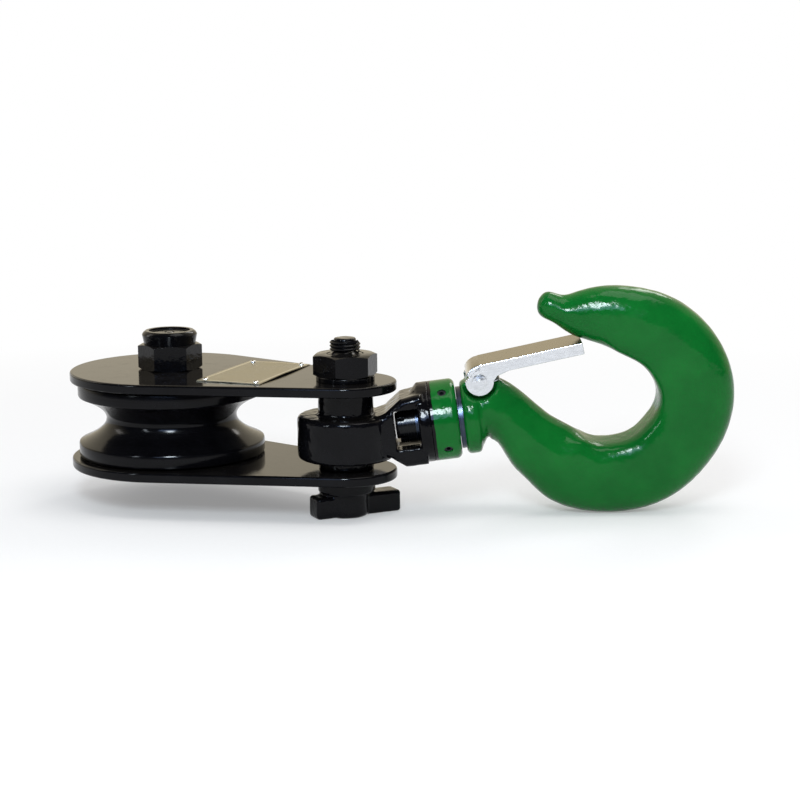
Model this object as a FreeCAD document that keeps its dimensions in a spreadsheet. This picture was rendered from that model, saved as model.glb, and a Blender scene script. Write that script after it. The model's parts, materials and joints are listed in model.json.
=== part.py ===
import FreeCAD, Part
import math
import os

import Sketcher
from FreeCAD import Placement, Rotation, Vector

# A snatch block with a swivelling latched hook, in millimetres.
# Origin: the middle of the sheave, halfway between the side plates. +Z runs up the sheave's axis,
# +X runs to the bolt that carries the yoke.

SIZES = {
    # Side plates
    "pin_spacing": 119.0,
    "plate_big_radius": 61.7,
    "plate_small_radius": 30.5,
    "plate_thickness": 6.0,
    "plate_gap": 47.0,
    "plate_chamfer": 0.8,
    # Fits
    "running_clearance": 0.05,
    "side_clearance": 0.3,
    # Sheave
    "sheave_radius": 57.15,
    "tread_radius": 40.1,
    "rope_radius": 6.0,
    "flare_angle": 34.0,
    "hub_radius": 24.0,
    "rim_inner_radius": 37.0,
    "web_thickness": 14.0,
    "bush_wall": 3.0,
    # Centre pin
    "pin_radius": 11.0,
    "pin_above_plate": 22.5,
    "washer_thickness": 1.0,
    "keeper_length": 38.0,
    "keeper_width": 18.0,
    "keeper_thickness": 8.0,
    # Lock nut on the centre pin
    "nut_flats": 34.0,
    "nut_height": 15.5,
    "nut_collar_radius": 15.8,
    "nut_collar_height": 8.3,
    "insert_lip": 1.2,
    "grease_fitting_radius": 3.2,
    "grease_fitting_height": 3.0,
    # Name plate
    "label_along": 39.0,
    "label_across": 73.0,
    "label_thickness": 1.0,
    "label_from_pin": 56.0,
    "label_to_back": 7.0,
    "label_rivet_radius": 1.9,
    "label_rivet_height": 1.1,
    "label_rivet_inset": 4.0,
    # Bolt with its cross handle
    "bolt_radius": 11.0,
    "bolt_flange_radius": 17.2,
    "bolt_flange_height": 8.5,
    "handle_height": 13.2,
    "handle_width": 14.0,
    "handle_short_arm": 22.0,
    "handle_long_arm": 33.0,
    "handle_turn": 49.5,
    "handle_boss_radius": 13.0,
    "handle_drop": 1.5,
    "bolt_nut_height": 13.0,
    "bolt_nut_turn": 8.0,
    "lock_washer_thickness": 3.0,
    "lock_washer_radius": 17.5,
    "lock_washer_gap": 2.5,
    "bolt_end_radius": 8.2,
    "bolt_end_height": 9.5,
    "bolt_notch_height": 4.2,
    "bolt_notch_depth": 6.5,
    # Yoke
    "yoke_swing": 23.5,
    "yoke_pitch": 7.0,
    "yoke_axis_drop": 2.0,
    "eye_radius": 29.0,
    "eye_top": 9.0,
    "eye_bottom": 17.5,
    "eye_round": 3.0,
    "eye_hub_radius": 16.5,
    "neck_width": 38.0,
    "neck_top": 18.0,
    "neck_bottom": 22.5,
    "window_start": 29.5,
    "window_end": 44.0,
    "window_half_height": 11.6,
    "boss_radius": 24.0,
    "boss_end": 51.5,
    "yoke_bush_wall": 2.0,
    # Swivel
    "collar_end": 67.5,
    "collar_round": 3.5,
    "grub_screw_radius": 2.6,
    "grub_screw_depth": 6.0,
    "thrust_washer_thickness": 2.4,
    "thrust_washer_radius": 18.5,
    "tail_radius": 11.0,
    "tail_thread_radius": 8.0,
    "shank_nut_radius": 10.8,
    "shank_nut_length": 10.0,
    "nut_washer_thickness": 2.0,
    "cross_pin_radius": 1.6,
    # Hook
    "hook_lean": 5.0,
    "flange_radius": 22.3,
    "flange_length": 9.5,
    "flange_round": 3.0,
    "bowl_along": 158.5,
    "bowl_up": 4.0,
    # Latch
    "latch_pin_along": 82.5,
    "latch_pin_up": 23.0,
    "latch_pin_radius": 3.0,
    "latch_slope": 5.1,
    "latch_length": 63.6,
    "latch_rise": 10.3,
    "latch_flange": 7.0,
    "latch_width": 25.0,
    "latch_sheet": 2.0,
    "ear_radius": 8.4,
    "ear_lean": 8.0,
    "ear_seat_gap": 2.2,
    "lug_radius": 7.2,
    "lug_width": 11.6,
    "rivet_head_radius": 4.6,
    "rivet_head_height": 1.6,
    "spring_wire": 1.4,
    "spring_coil_gap": 0.1,
    "spring_coil_radius": 4.2,
    "spring_bridge_reach": 11.5,
    "spring_roof_leg": 14.0,
    "spring_bend": 2.0,
}

# Where the collar's grub screws stand round the shank, in degrees from the top.
GRUB_ANGLES = (38.0, 128.0, 248.0)

# The hook's bar, station by station from the shank to the tip: where the middle of the bar lies,
# as an angle and a distance from the middle of the bowl, then its depth and its width.
HOOK_BAR = [
    ("throat", -170.8, 62.3, 37.5, 35.0),
    ("neck", -154.7, 55.1, 38.8, 35.0),
    ("shoulder", -139.0, 51.6, 42.6, 35.5),
    ("heel", -117.2, 51.5, 46.5, 36.0),
    ("belly", -92.0, 50.6, 47.4, 36.5),
    ("belly_front", -69.0, 50.8, 48.4, 37.0),
    ("saddle_low", -42.6, 50.0, 48.6, 37.5),
    ("saddle", -4.5, 50.8, 46.4, 37.5),
    ("saddle_high", 20.3, 48.6, 45.0, 36.5),
    ("crown", 43.1, 46.6, 43.0, 34.5),
    ("back", 69.5, 45.2, 39.5, 31.5),
    ("point_root", 91.0, 47.6, 34.0, 27.5),
    ("point", 108.4, 53.3, 25.4, 22.0),
    ("nose", 117.6, 60.1, 18.2, 17.2),
]

doc = FreeCAD.newDocument("SnatchBlock")
sheet = doc.addObject("Spreadsheet::Sheet", "Sizes")

cells = list(SIZES.items())
for station, angle, distance, depth, width in HOOK_BAR:
    cells += [
        (f"hook_{station}_angle", angle),
        (f"hook_{station}_distance", distance),
        (f"hook_{station}_depth", depth),
        (f"hook_{station}_width", width),
    ]
for row, (alias, number) in enumerate(cells, start=1):
    sheet.set(f"A{row}", alias)
    sheet.set(f"B{row}", str(number))
    sheet.setAlias(f"B{row}", alias)
doc.recompute()


class Size:
    """A length or angle that carries its value now and the sheet formula that it follows."""

    def __init__(self, value, formula):
        self.value = float(value)
        self.formula = formula

    @staticmethod
    def of(other):
        return other if isinstance(other, Size) else Size(other, repr(float(other)))

    def __add__(self, other):
        other = Size.of(other)
        return Size(self.value + other.value, f"({self.formula} + {other.formula})")

    def __sub__(self, other):
        other = Size.of(other)
        return Size(self.value - other.value, f"({self.formula} - {other.formula})")

    def __mul__(self, other):
        other = Size.of(other)
        return Size(self.value * other.value, f"({self.formula} * {other.formula})")

    def __truediv__(self, other):
        other = Size.of(other)
        return Size(self.value / other.value, f"({self.formula} / {other.formula})")

    def __neg__(self):
        return Size(-self.value, f"(0 - {self.formula})")

    __radd__ = __add__

    def __rmul__(self, other):
        return Size.of(other) * self


def size(alias):
    return Size(sheet.get(alias), f"Sizes.{alias}")


def root(number):
    return Size(math.sqrt(number.value), f"sqrt({number.formula})")


def sine(degrees):
    return Size(math.sin(math.radians(degrees.value)), f"sin({degrees.formula})")


def cosine(degrees):
    return Size(math.cos(math.radians(degrees.value)), f"cos({degrees.formula})")


def bind(thing, name, amount):
    """Sets a property and ties it to the sheet."""
    amount = Size.of(amount)
    setattr(thing, name, amount.value)
    thing.setExpression(name, amount.formula)


# Where things are


plate_inner = size("plate_gap") / 2
plate_outer = plate_inner + size("plate_thickness")
bolt_at = Vector(size("pin_spacing").value, 0, 0)

yoke_frame = Placement(bolt_at, Rotation(Vector(0, 0, 1), size("yoke_swing").value))
axis_drop = Vector(0, 0, -size("yoke_axis_drop").value)
axis_frame = yoke_frame * Placement(axis_drop, Rotation(Vector(0, 1, 0), -size("yoke_pitch").value))
hook_frame = axis_frame * Placement(Vector(), Rotation(Vector(1, 0, 0), size("hook_lean").value))
level_frame = Placement()
bolt_frame = Placement(bolt_at, Rotation())

NODES = []


def node(thing, label, frame=level_frame):
    """Names a finished sub-part and puts it where it belongs."""
    thing.Label = label
    thing.Placement = frame
    NODES.append(thing)
    return thing


# Sketches and features


def new_body(name):
    return doc.addObject("PartDesign::Body", name)


def new_sketch(body, name, role, height=None):
    """An empty sketch on one of the body's own planes, at a height above it."""
    sketch = body.newObject("Sketcher::SketchObject", name)
    plane = next(f for f in body.Origin.OriginFeatures if f.Role == role)
    sketch.AttachmentSupport = [(plane, "")]
    sketch.MapMode = "FlatFace"
    if height is not None:
        sketch.AttachmentOffset = Placement(Vector(0, 0, height.value), Rotation())
        sketch.setExpression(".AttachmentOffset.Base.z", height.formula)
    return sketch


def hold(sketch, constraint, amount):
    """Adds a measured constraint and ties it to the sheet."""
    index = sketch.addConstraint(constraint)
    sketch.setExpression(f"Constraints[{index}]", amount.formula)


def hold_point(sketch, geometry, end, x, y):
    """Fixes a point's place; a plain 0 puts it on the axis."""
    if isinstance(x, Size):
        hold(sketch, Sketcher.Constraint("DistanceX", -1, 1, geometry, end, x.value), x)
    else:
        sketch.addConstraint(Sketcher.Constraint("PointOnObject", geometry, end, -2))
    if isinstance(y, Size):
        hold(sketch, Sketcher.Constraint("DistanceY", -1, 1, geometry, end, y.value), y)
    else:
        sketch.addConstraint(Sketcher.Constraint("PointOnObject", geometry, end, -1))


def flat(point):
    x, y = point
    return Vector(Size.of(x).value, Size.of(y).value, 0)


def outline(body, name, role, corners, arcs=None, height=None):
    """A closed outline of straight runs; arcs gives, for the run after a corner, the radius, the
    middle and whether it turns to the left."""
    sketch = new_sketch(body, name, role, height)
    arcs = arcs or {}
    ends = []
    for i, corner in enumerate(corners):
        start, end = flat(corner), flat(corners[(i + 1) % len(corners)])
        if i not in arcs:
            sketch.addGeometry(Part.LineSegment(start, end), False)
            ends.append((1, 2))
            continue
        radius, middle, left = arcs[i]
        first, last = (start, end) if left else (end, start)
        middle = flat(middle)
        angles = [math.atan2(p.y - middle.y, p.x - middle.x) for p in (first, last)]
        if angles[1] <= angles[0]:
            angles[1] += 2 * math.pi
        circle = Part.Circle(middle, Vector(0, 0, 1), radius.value)
        sketch.addGeometry(Part.ArcOfCircle(circle, *angles), False)
        ends.append((1, 2) if left else (2, 1))
    for i, (x, y) in enumerate(corners):
        after = (i + 1) % len(corners)
        sketch.addConstraint(Sketcher.Constraint("Coincident", i, ends[i][1], after, ends[after][0]))
    for i, (x, y) in enumerate(corners):
        hold_point(sketch, i, ends[i][0], x, y)
    for i, (radius, middle, left) in arcs.items():
        hold(sketch, Sketcher.Constraint("Radius", i, radius.value), radius)
    return sketch


def circle(body, name, role, x, y, radius, height=None):
    sketch = new_sketch(body, name, role, height)
    sketch.addGeometry(Part.Circle(flat((x, y)), Vector(0, 0, 1), radius.value), False)
    hold_point(sketch, 0, 3, x, y)
    hold(sketch, Sketcher.Constraint("Radius", 0, radius.value), radius)
    return sketch


def pad(body, name, sketch, length, midplane=False):
    feature = body.newObject("PartDesign::Pad", name)
    feature.Profile = sketch
    feature.Midplane = midplane
    bind(feature, "Length", length)
    sketch.Visibility = False
    doc.recompute()
    return feature


def pocket(body, name, sketch, length=None, midplane=False):
    """Cuts a sketch through everything on both sides, or a stated length of it."""
    before = body.Shape.Volume
    feature = body.newObject("PartDesign::Pocket", name)
    feature.Profile = sketch
    feature.Midplane = midplane
    if length is None:
        feature.Type = "ThroughAll"
        feature.Midplane = True
    else:
        bind(feature, "Length", length)
    doc.recompute()
    if not feature.Shape.Volume < before:
        raise ValueError(f"{name} cuts nothing")
    return feature


def turn(body, name, sketch, axis="V_Axis", cut=False):
    """Revolves a half outline round the sketch's own axis."""
    kind = "Groove" if cut else "Revolution"
    feature = body.newObject(f"PartDesign::{kind}", name)
    feature.Profile = sketch
    feature.ReferenceAxis = (sketch, [axis])
    feature.Angle = 360
    doc.recompute()
    return feature


def turned(name, corners, arcs=None, axis="V_Axis"):
    """A turned piece: a half outline in the XZ plane, revolved."""
    body = new_body(name)
    turn(body, f"{name}_turned", outline(body, f"{name}_half", "XZ_Plane", corners, arcs), axis)
    return body


def ring(name, inner, outer, low, high):
    """A plain washer or bush, along Z."""
    return turned(name, [(inner, low), (outer, low), (outer, high), (inner, high)])


def ring_along(name, inner, outer, start, end):
    """A plain washer or bush, along X."""
    corners = [(start, inner), (start, outer), (end, outer), (end, inner)]
    return turned(name, corners, axis="H_Axis")


def hexagon(body, name, flats, height):
    """A hexagon sketch with two corners on the Y axis."""
    across = flats / 2
    corner = flats / Size.of(math.sqrt(3))
    corners = [
        (across, -(corner / 2)),
        (across, corner / 2),
        (0, corner),
        (-across, corner / 2),
        (-across, -(corner / 2)),
        (0, -corner),
    ]
    return outline(body, name, "XY_Plane", corners, height=height)


def level_edges(feature, heights):
    """The names of a feature's edges that lie wholly at one of the heights."""
    names = []
    for i, edge in enumerate(feature.Shape.Edges, start=1):
        for height in heights:
            box = edge.BoundBox
            if abs(box.ZMin - height.value) < 1e-4 and abs(box.ZMax - height.value) < 1e-4:
                names.append(f"Edge{i}")
    return names


def bevel(body, name, base, edges, amount, rounded=False):
    feature = body.newObject("PartDesign::Fillet" if rounded else "PartDesign::Chamfer", name)
    feature.Base = (base, edges)
    bind(feature, "Radius" if rounded else "Size", amount)
    doc.recompute()
    return feature


# Part primitives and booleans


def cylinder(name, radius, length, place=Placement()):
    thing = doc.addObject("Part::Cylinder", name)
    bind(thing, "Radius", radius)
    bind(thing, "Height", length)
    thing.Placement = place
    return thing


def box(name, length, width, height, place):
    thing = doc.addObject("Part::Box", name)
    bind(thing, "Length", length)
    bind(thing, "Width", width)
    bind(thing, "Height", height)
    thing.Placement = place
    return thing


def cut(name, base, tool):
    thing = doc.addObject("Part::Cut", name)
    thing.Base = base
    thing.Tool = tool
    doc.recompute()
    if not thing.Shape.Volume < base.Shape.Volume:
        raise ValueError(f"{name} cuts nothing")
    return thing


def fuse(name, pieces):
    thing = doc.addObject("Part::MultiFuse", name)
    thing.Shapes = pieces
    thing.Refine = True
    doc.recompute()
    return thing


def at(x=0.0, y=0.0, z=0.0, rotation=Rotation()):
    """A placement from sizes or plain numbers."""
    return Placement(Vector(*(Size.of(n).value for n in (x, y, z))), rotation)


ALONG_X = Rotation(Vector(0, 1, 0), 90)
ALONG_Y = Rotation(Vector(1, 0, 0), -90)


# Side plates: two equal teardrops of plate, open between the pin and the bolt


def side_plate(label, low):
    big, small, spacing = size("plate_big_radius"), size("plate_small_radius"), size("pin_spacing")
    lean = (big - small) / spacing
    upright = root(Size.of(1.0) - lean * lean)
    corners = [
        (big * lean, big * upright),
        (big * lean, -(big * upright)),
        (spacing + small * lean, -(small * upright)),
        (spacing + small * lean, small * upright),
    ]
    arcs = {0: (big, (0, 0), True), 2: (small, (spacing, 0), True)}
    body = new_body(label)
    plate = pad(body, f"{label}_blank", outline(body, f"{label}_form", "XY_Plane", corners, arcs, low),
                size("plate_thickness"))
    edges = level_edges(plate, [low, low + size("plate_thickness")])
    bevel(body, f"{label}_edge", plate, edges, size("plate_chamfer"))
    pin_hole = size("pin_radius") + size("running_clearance")
    bolt_hole = size("bolt_radius") + size("running_clearance")
    pocket(body, f"{label}_pin_hole", circle(body, f"{label}_pin_circle", "XY_Plane", 0, 0, pin_hole))
    pocket(body, f"{label}_bolt_hole",
           circle(body, f"{label}_bolt_circle", "XY_Plane", spacing, 0, bolt_hole))
    return node(body, label)


side_plate("upper_side_plate", plate_inner)
side_plate("lower_side_plate", -plate_outer)


# Sheave: a rope groove between two flares, a recessed web and a hub with a bronze bush


def sheave():
    half = plate_inner - size("side_clearance") - size("washer_thickness")
    rim, tread, rope = size("sheave_radius"), size("tread_radius"), size("rope_radius")
    flare = size("flare_angle")
    root_middle = tread + rope
    touch_r = root_middle - rope * sine(flare)
    touch_z = rope * cosine(flare)
    lip_z = touch_z + (rim - touch_r) * sine(flare) / cosine(flare)
    bore = size("pin_radius") + size("running_clearance") + size("bush_wall")
    web = size("web_thickness") / 2
    hub, inner = size("hub_radius"), size("rim_inner_radius")
    slope = half - web
    corners = [
        (bore, -half),
        (hub, -half),
        (hub + slope * 0.25, -web),
        (inner, -web),
        (inner + slope * 0.25, -half),
        (rim, -half),
        (rim, -lip_z),
        (touch_r, -touch_z),
        (touch_r, touch_z),
        (rim, lip_z),
        (rim, half),
        (inner + slope * 0.25, half),
        (inner, web),
        (hub + slope * 0.25, web),
        (hub, half),
        (bore, half),
    ]
    arcs = {7: (rope, (root_middle, 0), False)}
    body = turned("sheave", corners, arcs)
    node(body, "sheave")
    bush = ring("sheave_bush", bore - size("bush_wall"), bore, -half, half)
    node(bush, "sheave_bush")
    for label, low in (("upper_thrust_washer", half + size("side_clearance")), ("lower_thrust_washer", -plate_inner)):
        inner_radius = size("pin_radius") + size("running_clearance")
        washer = ring(label, inner_radius, hub, low, low + size("washer_thickness"))
        node(washer, label)


sheave()


# Centre pin with its keeper, lock nut and grease fitting


def centre_pin():
    radius = size("pin_radius")
    top = plate_outer + size("pin_above_plate")
    chamfer = size("plate_chamfer")
    fitting = size("grease_fitting_radius")
    seat = top - size("grease_fitting_height")
    corners = [
        (0, -plate_outer),
        (radius, -plate_outer),
        (radius, top - chamfer),
        (radius - chamfer, top),
        (fitting, top),
        (fitting, seat),
        (0, seat),
    ]
    node(turned("centre_pin", corners), "centre_pin")
    crown = top + size("grease_fitting_height") * 0.1
    corners = [(0, seat), (fitting, seat), (fitting, top - chamfer), (fitting * 0.5, crown), (0, crown)]
    node(turned("grease_fitting", corners), "grease_fitting")
    body = new_body("pin_keeper")
    half_length, half_width = size("keeper_length") / 2, size("keeper_width") / 2
    corners = [
        (half_length, half_width),
        (-half_length, half_width),
        (-half_length, -half_width),
        (half_length, -half_width),
    ]
    low = -plate_outer - size("keeper_thickness")
    blank = pad(body, "keeper_blank", outline(body, "keeper_form", "XY_Plane", corners, height=low),
                size("keeper_thickness"))
    bevel(body, "keeper_edge", blank, level_edges(blank, [low]), size("plate_chamfer"))
    node(body, "pin_keeper")


centre_pin()


def hex_nut(label, low, high, bore, flats, collar=None):
    """A hexagon nut with turned corners; collar adds the round rim that holds a nylon ring."""
    body = new_body(label)
    pad(body, f"{label}_hexagon", hexagon(body, f"{label}_flats", flats, low), high - low)
    corner = flats / Size.of(math.sqrt(3))
    seat = flats * 0.5
    fall = (corner - seat) * 0.6
    over = corner + 1
    top_cut = [
        (seat, high),
        (over, high - fall),
        (over, high + 1),
        (seat, high + 1),
    ]
    turn(body, f"{label}_top", outline(body, f"{label}_top_form", "XZ_Plane", top_cut), cut=True)
    low_cut = [
        (seat, low),
        (seat, low - 1),
        (over, low - 1),
        (over, low + fall),
    ]
    turn(body, f"{label}_foot", outline(body, f"{label}_foot_form", "XZ_Plane", low_cut), cut=True)
    if collar is not None:
        radius, height, ring_inner, lip = collar
        rim = [
            (bore, high - 1),
            (radius, high - 1),
            (radius, high + height - lip * 2),
            (radius - lip, high + height),
            (ring_inner - lip, high + height),
            (ring_inner - lip, high + height - lip),
            (ring_inner, high + height - lip),
            (ring_inner, high + height * 0.45),
            (bore, high + height * 0.45),
        ]
        turn(body, f"{label}_rim", outline(body, f"{label}_rim_form", "XZ_Plane", rim))
    hole = circle(body, f"{label}_bore_circle", "XY_Plane", 0, 0, bore)
    pocket(body, f"{label}_bore", hole)
    return body


def lock_nut():
    low = plate_outer
    high = low + size("nut_height")
    bore = size("pin_radius")
    radius, height, lip = size("nut_collar_radius"), size("nut_collar_height"), size("insert_lip")
    ring_outer = radius - lip * 1.6
    body = hex_nut("lock_nut", low, high, bore, size("nut_flats"), (radius, height, ring_outer, lip))
    node(body, "lock_nut")
    ring_low = high + height * 0.45
    insert = ring("nut_insert", bore, ring_outer, ring_low, high + height - lip)
    node(insert, "nut_insert")


lock_nut()


# Blank name plate with a rivet at each corner


def name_plate():
    along, across = size("label_along"), size("label_across")
    left = size("label_from_pin") - along / 2
    front = size("label_to_back") - across / 2
    low, inset = plate_outer, size("label_rivet_inset")
    corners = [
        (left, front),
        (left + along, front),
        (left + along, front + across),
        (left, front + across),
    ]
    body = new_body("name_plate")
    pad(body, "label_blank", outline(body, "label_form", "XY_Plane", corners, height=low),
        size("label_thickness"))
    rivets = []
    places = [(left + inset, front + inset), (left + along - inset, front + inset),
              (left + inset, front + across - inset), (left + along - inset, front + across - inset)]
    stem = size("label_rivet_radius") * 0.6
    for i, (x, y) in enumerate(places, start=1):
        pocket(body, f"label_hole_{i}", circle(body, f"label_circle_{i}", "XY_Plane", x, y, stem))
        head = cylinder(f"rivet_head_{i}", size("label_rivet_radius"), size("label_rivet_height"),
                        at(x, y, low + size("label_thickness")))
        shaft = cylinder(f"rivet_stem_{i}", stem, size("label_thickness"), at(x, y, low))
        rivets.append(fuse(f"rivet_{i}", [head, shaft]))
    node(body, "name_plate")
    group = doc.addObject("Part::Compound", "name_plate_rivets")
    group.Links = rivets
    node(group, "name_plate_rivets")


name_plate()


# Bolt: a turned shank with a notched end, a flange and a forged cross handle below


def bolt():
    radius, end_radius = size("bolt_radius"), size("bolt_end_radius")
    under = -plate_outer
    flange_low = under - size("bolt_flange_height")
    handle_top = under - size("bolt_flange_height") - size("handle_drop")
    handle_low = handle_top - size("handle_height")
    nut_top = plate_outer + size("lock_washer_thickness") + size("bolt_nut_height")
    end_top = nut_top + size("bolt_end_height")
    boss = size("handle_boss_radius")
    chamfer = size("plate_chamfer")
    corners = [
        (0, handle_low),
        (boss - chamfer * 2, handle_low),
        (boss, handle_low + chamfer * 2),
        (boss, flange_low),
        (size("bolt_flange_radius") - chamfer, flange_low),
        (size("bolt_flange_radius"), flange_low + chamfer),
        (size("bolt_flange_radius"), under - chamfer),
        (size("bolt_flange_radius") - chamfer, under),
        (radius, under),
        (radius, nut_top),
        (end_radius, nut_top),
        (end_radius, end_top - chamfer),
        (end_radius - chamfer, end_top),
        (0, end_top),
    ]
    shank = turned("bolt_turned", corners)
    arm = new_body("bolt_handle")
    short, long, half = size("handle_short_arm"), size("handle_long_arm"), size("handle_width") / 2
    plan = [(long, half), (-short, half), (-short, -half), (long, -half)]
    blank = pad(arm, "handle_blank", outline(arm, "handle_form", "XY_Plane", plan, height=handle_low),
                size("handle_height"))
    names = [f"Edge{i}" for i in range(1, len(blank.Shape.Edges) + 1)]
    bevel(arm, "handle_edge", blank, names, chamfer * 2.5, rounded=True)
    arm.Placement = Placement(Vector(), Rotation(Vector(0, 0, 1), size("handle_turn").value))
    whole = fuse("bolt_whole", [shank, arm])
    notch_low = nut_top + (size("bolt_end_height") - size("bolt_notch_height")) * 0.35
    notch = box("bolt_notch", end_radius * 2, end_radius * 4, size("bolt_notch_height"),
                at(end_radius - size("bolt_notch_depth"), -(end_radius * 2), notch_low))
    notch.Placement = Placement(Vector(), Rotation(Vector(0, 0, 1), size("yoke_swing").value)) * notch.Placement
    node(cut("bolt", whole, notch), "bolt", bolt_frame)

    washer_top = plate_outer + size("lock_washer_thickness")
    nut = hex_nut("bolt_nut", washer_top, nut_top, radius, size("nut_flats"))
    nut_turn = Rotation(Vector(0, 0, 1), size("bolt_nut_turn").value)
    node(nut, "bolt_nut", bolt_frame * Placement(Vector(), nut_turn))

    washer = ring("lock_washer_ring", radius, size("lock_washer_radius"), plate_outer, washer_top)
    gap = size("lock_washer_gap")
    split = box("lock_washer_split", size("lock_washer_radius") * 2, gap, size("lock_washer_thickness") * 3,
                at(radius * 0.5, -(gap / 2), plate_outer - size("lock_washer_thickness")))
    node(cut("lock_washer", washer, split), "lock_washer", bolt_frame)


bolt()


# Yoke: an eye on the bolt, a windowed neck that houses the shank's nut, and a round boss


def yoke():
    hole = size("bolt_radius") + size("running_clearance")
    eye, round_off, hub = size("eye_radius"), size("eye_round"), size("eye_hub_radius")
    top, bottom = size("eye_top"), -size("eye_bottom")
    reach = plate_inner - size("side_clearance")
    corners = [
        (hole, -reach),
        (hub, -reach),
        (hub, bottom),
        (eye - round_off, bottom),
        (eye, bottom + round_off),
        (eye, top - round_off),
        (eye - round_off, top),
        (hub, top),
        (hub, reach),
        (hole, reach),
    ]
    arcs = {
        3: (round_off, (eye - round_off, bottom + round_off), True),
        5: (round_off, (eye - round_off, top - round_off), True),
    }
    eye_ring = turned("yoke_eye", corners, arcs)

    start, end = size("window_start"), size("window_end")
    neck_top, neck_bottom = size("neck_top"), -size("neck_bottom")
    side = [
        (hub, neck_bottom * 0.55),
        (start - 4, neck_bottom * 0.72),
        (start + 4, neck_bottom),
        (end + 3, neck_bottom),
        (end + 3, neck_top + 2),
        (start + 5, neck_top),
        (start - 5, neck_top * 0.6),
        (hub, neck_top * 0.5),
    ]
    neck = new_body("yoke_neck")
    blank = pad(neck, "neck_blank", outline(neck, "neck_side", "XZ_Plane", side), size("neck_width"), True)
    half = size("neck_width") / 2
    long_edges = []
    for i, edge in enumerate(blank.Shape.Edges, start=1):
        bounds = edge.BoundBox
        if abs(abs(bounds.YMin) - half.value) < 1e-4 and bounds.YLength < 1e-4 and bounds.XLength > 1:
            long_edges.append(f"Edge{i}")
    bevel(neck, "neck_edge", blank, long_edges, size("eye_round") * 1.3, rounded=True)
    boss_start, boss_end, boss_radius = end - 3, size("boss_end"), size("boss_radius")
    boss = turned("yoke_boss", [
        (boss_start, 0),
        (boss_start, boss_radius - 4),
        (end + 1, boss_radius),
        (boss_end, boss_radius),
        (boss_end, 0),
    ], axis="H_Axis")
    tilt = yoke_frame.inverse() * axis_frame
    neck.Placement = tilt
    boss.Placement = tilt
    whole = fuse("yoke_whole", [eye_ring, neck, boss])

    tools = []
    tools.append(cylinder("yoke_bolt_hole", hole, reach * 4, at(0, 0, -(reach * 2))))
    height = size("window_half_height")
    window = box("yoke_window", end - start, size("neck_width") * 2, height * 2,
                 at(start, -size("neck_width"), -height))
    window.Placement = tilt * window.Placement
    tools.append(window)
    bush_outer = size("tail_radius") + size("running_clearance") + size("yoke_bush_wall")
    bore = cylinder("yoke_shank_bore", bush_outer, boss_end - start, at(start, 0, 0, ALONG_X))
    bore.Placement = tilt * bore.Placement
    tools.append(bore)
    inside = doc.addObject("Part::Common", "yoke_inside")
    inside.Base = whole
    inside.Tool = yoke_envelope(reach)
    doc.recompute()
    part = cut("yoke", inside, fuse("yoke_tools", tools))
    node(part, "yoke", yoke_frame)

    bush = ring_along("yoke_bush", bush_outer - size("yoke_bush_wall"), bush_outer, end, boss_end)
    node(bush, "yoke_bush", axis_frame)


def yoke_envelope(reach):
    """The room that the yoke may fill: between the plates near the bolt, and all of it further out."""
    clear = size("plate_small_radius") + size("side_clearance") * 4
    between = cylinder("yoke_room_between", clear, reach * 2, at(0, 0, -reach))
    outside = cylinder("yoke_room_outside", clear * 4, reach * 4, at(0, 0, -(reach * 2)))
    hollow = cylinder("yoke_room_hollow", clear, reach * 5, at(0, 0, -(reach * 2.5)))
    return fuse("yoke_room", [between, cut("yoke_room_shell", outside, hollow)])


yoke()


# Bearing collar on the boss, its grub screws, and the washer between collar and hook


def bearing_collar():
    start, end, radius = size("boss_end"), size("collar_end"), size("boss_radius")
    bore = size("tail_radius") + size("side_clearance")
    round_off = size("collar_round")
    corners = [
        (start, bore),
        (start, radius),
        (end - round_off, radius),
        (end, radius - round_off),
        (end, bore),
    ]
    arcs = {2: (round_off, (end - round_off, radius - round_off), False)}
    collar = turned("collar_turned", corners, arcs, axis="H_Axis")
    middle = start + (end - start) * 0.5
    screw, depth = size("grub_screw_radius"), size("grub_screw_depth")
    holes, screws = [], []
    for i, turn_by in enumerate(GRUB_ANGLES, start=1):
        spoke = Placement(Vector(), Rotation(Vector(1, 0, 0), turn_by))
        holes.append(cylinder(f"grub_hole_{i}", screw, depth * 2, spoke * at(middle, 0, radius - depth)))
        body = cylinder(f"grub_body_{i}", screw, depth - size("plate_chamfer"), at(middle, 0, radius - depth))
        socket = doc.addObject("Part::Prism", f"grub_socket_{i}")
        socket.Polygon = 6
        bind(socket, "Circumradius", screw * 0.55)
        bind(socket, "Height", depth)
        socket.Placement = at(middle, 0, radius - depth * 0.55)
        piece = cut(f"grub_screw_{i}", body, socket)
        piece.Placement = spoke
        screws.append(piece)
    node(cut("bearing_collar", collar, fuse("grub_holes", holes)), "bearing_collar", axis_frame)
    group = doc.addObject("Part::Compound", "collar_grub_screws")
    group.Links = screws
    node(group, "collar_grub_screws", axis_frame)


bearing_collar()


# Hook: a tapering bar round the bowl, a flanged shank and a lug for the latch


flange_start = size("collar_end") + size("side_clearance") * 2 + size("thrust_washer_thickness")
flange_end = flange_start + size("flange_length")


def bar_middle(station):
    """The middle of the hook's bar at a station, along and above the shank's axis."""
    angle = math.radians(size(f"hook_{station}_angle").value)
    distance = size(f"hook_{station}_distance").value
    along = size("bowl_along").value + distance * math.cos(angle)
    up = size("bowl_up").value + distance * math.sin(angle)
    return Vector(along, 0, up)


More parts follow.
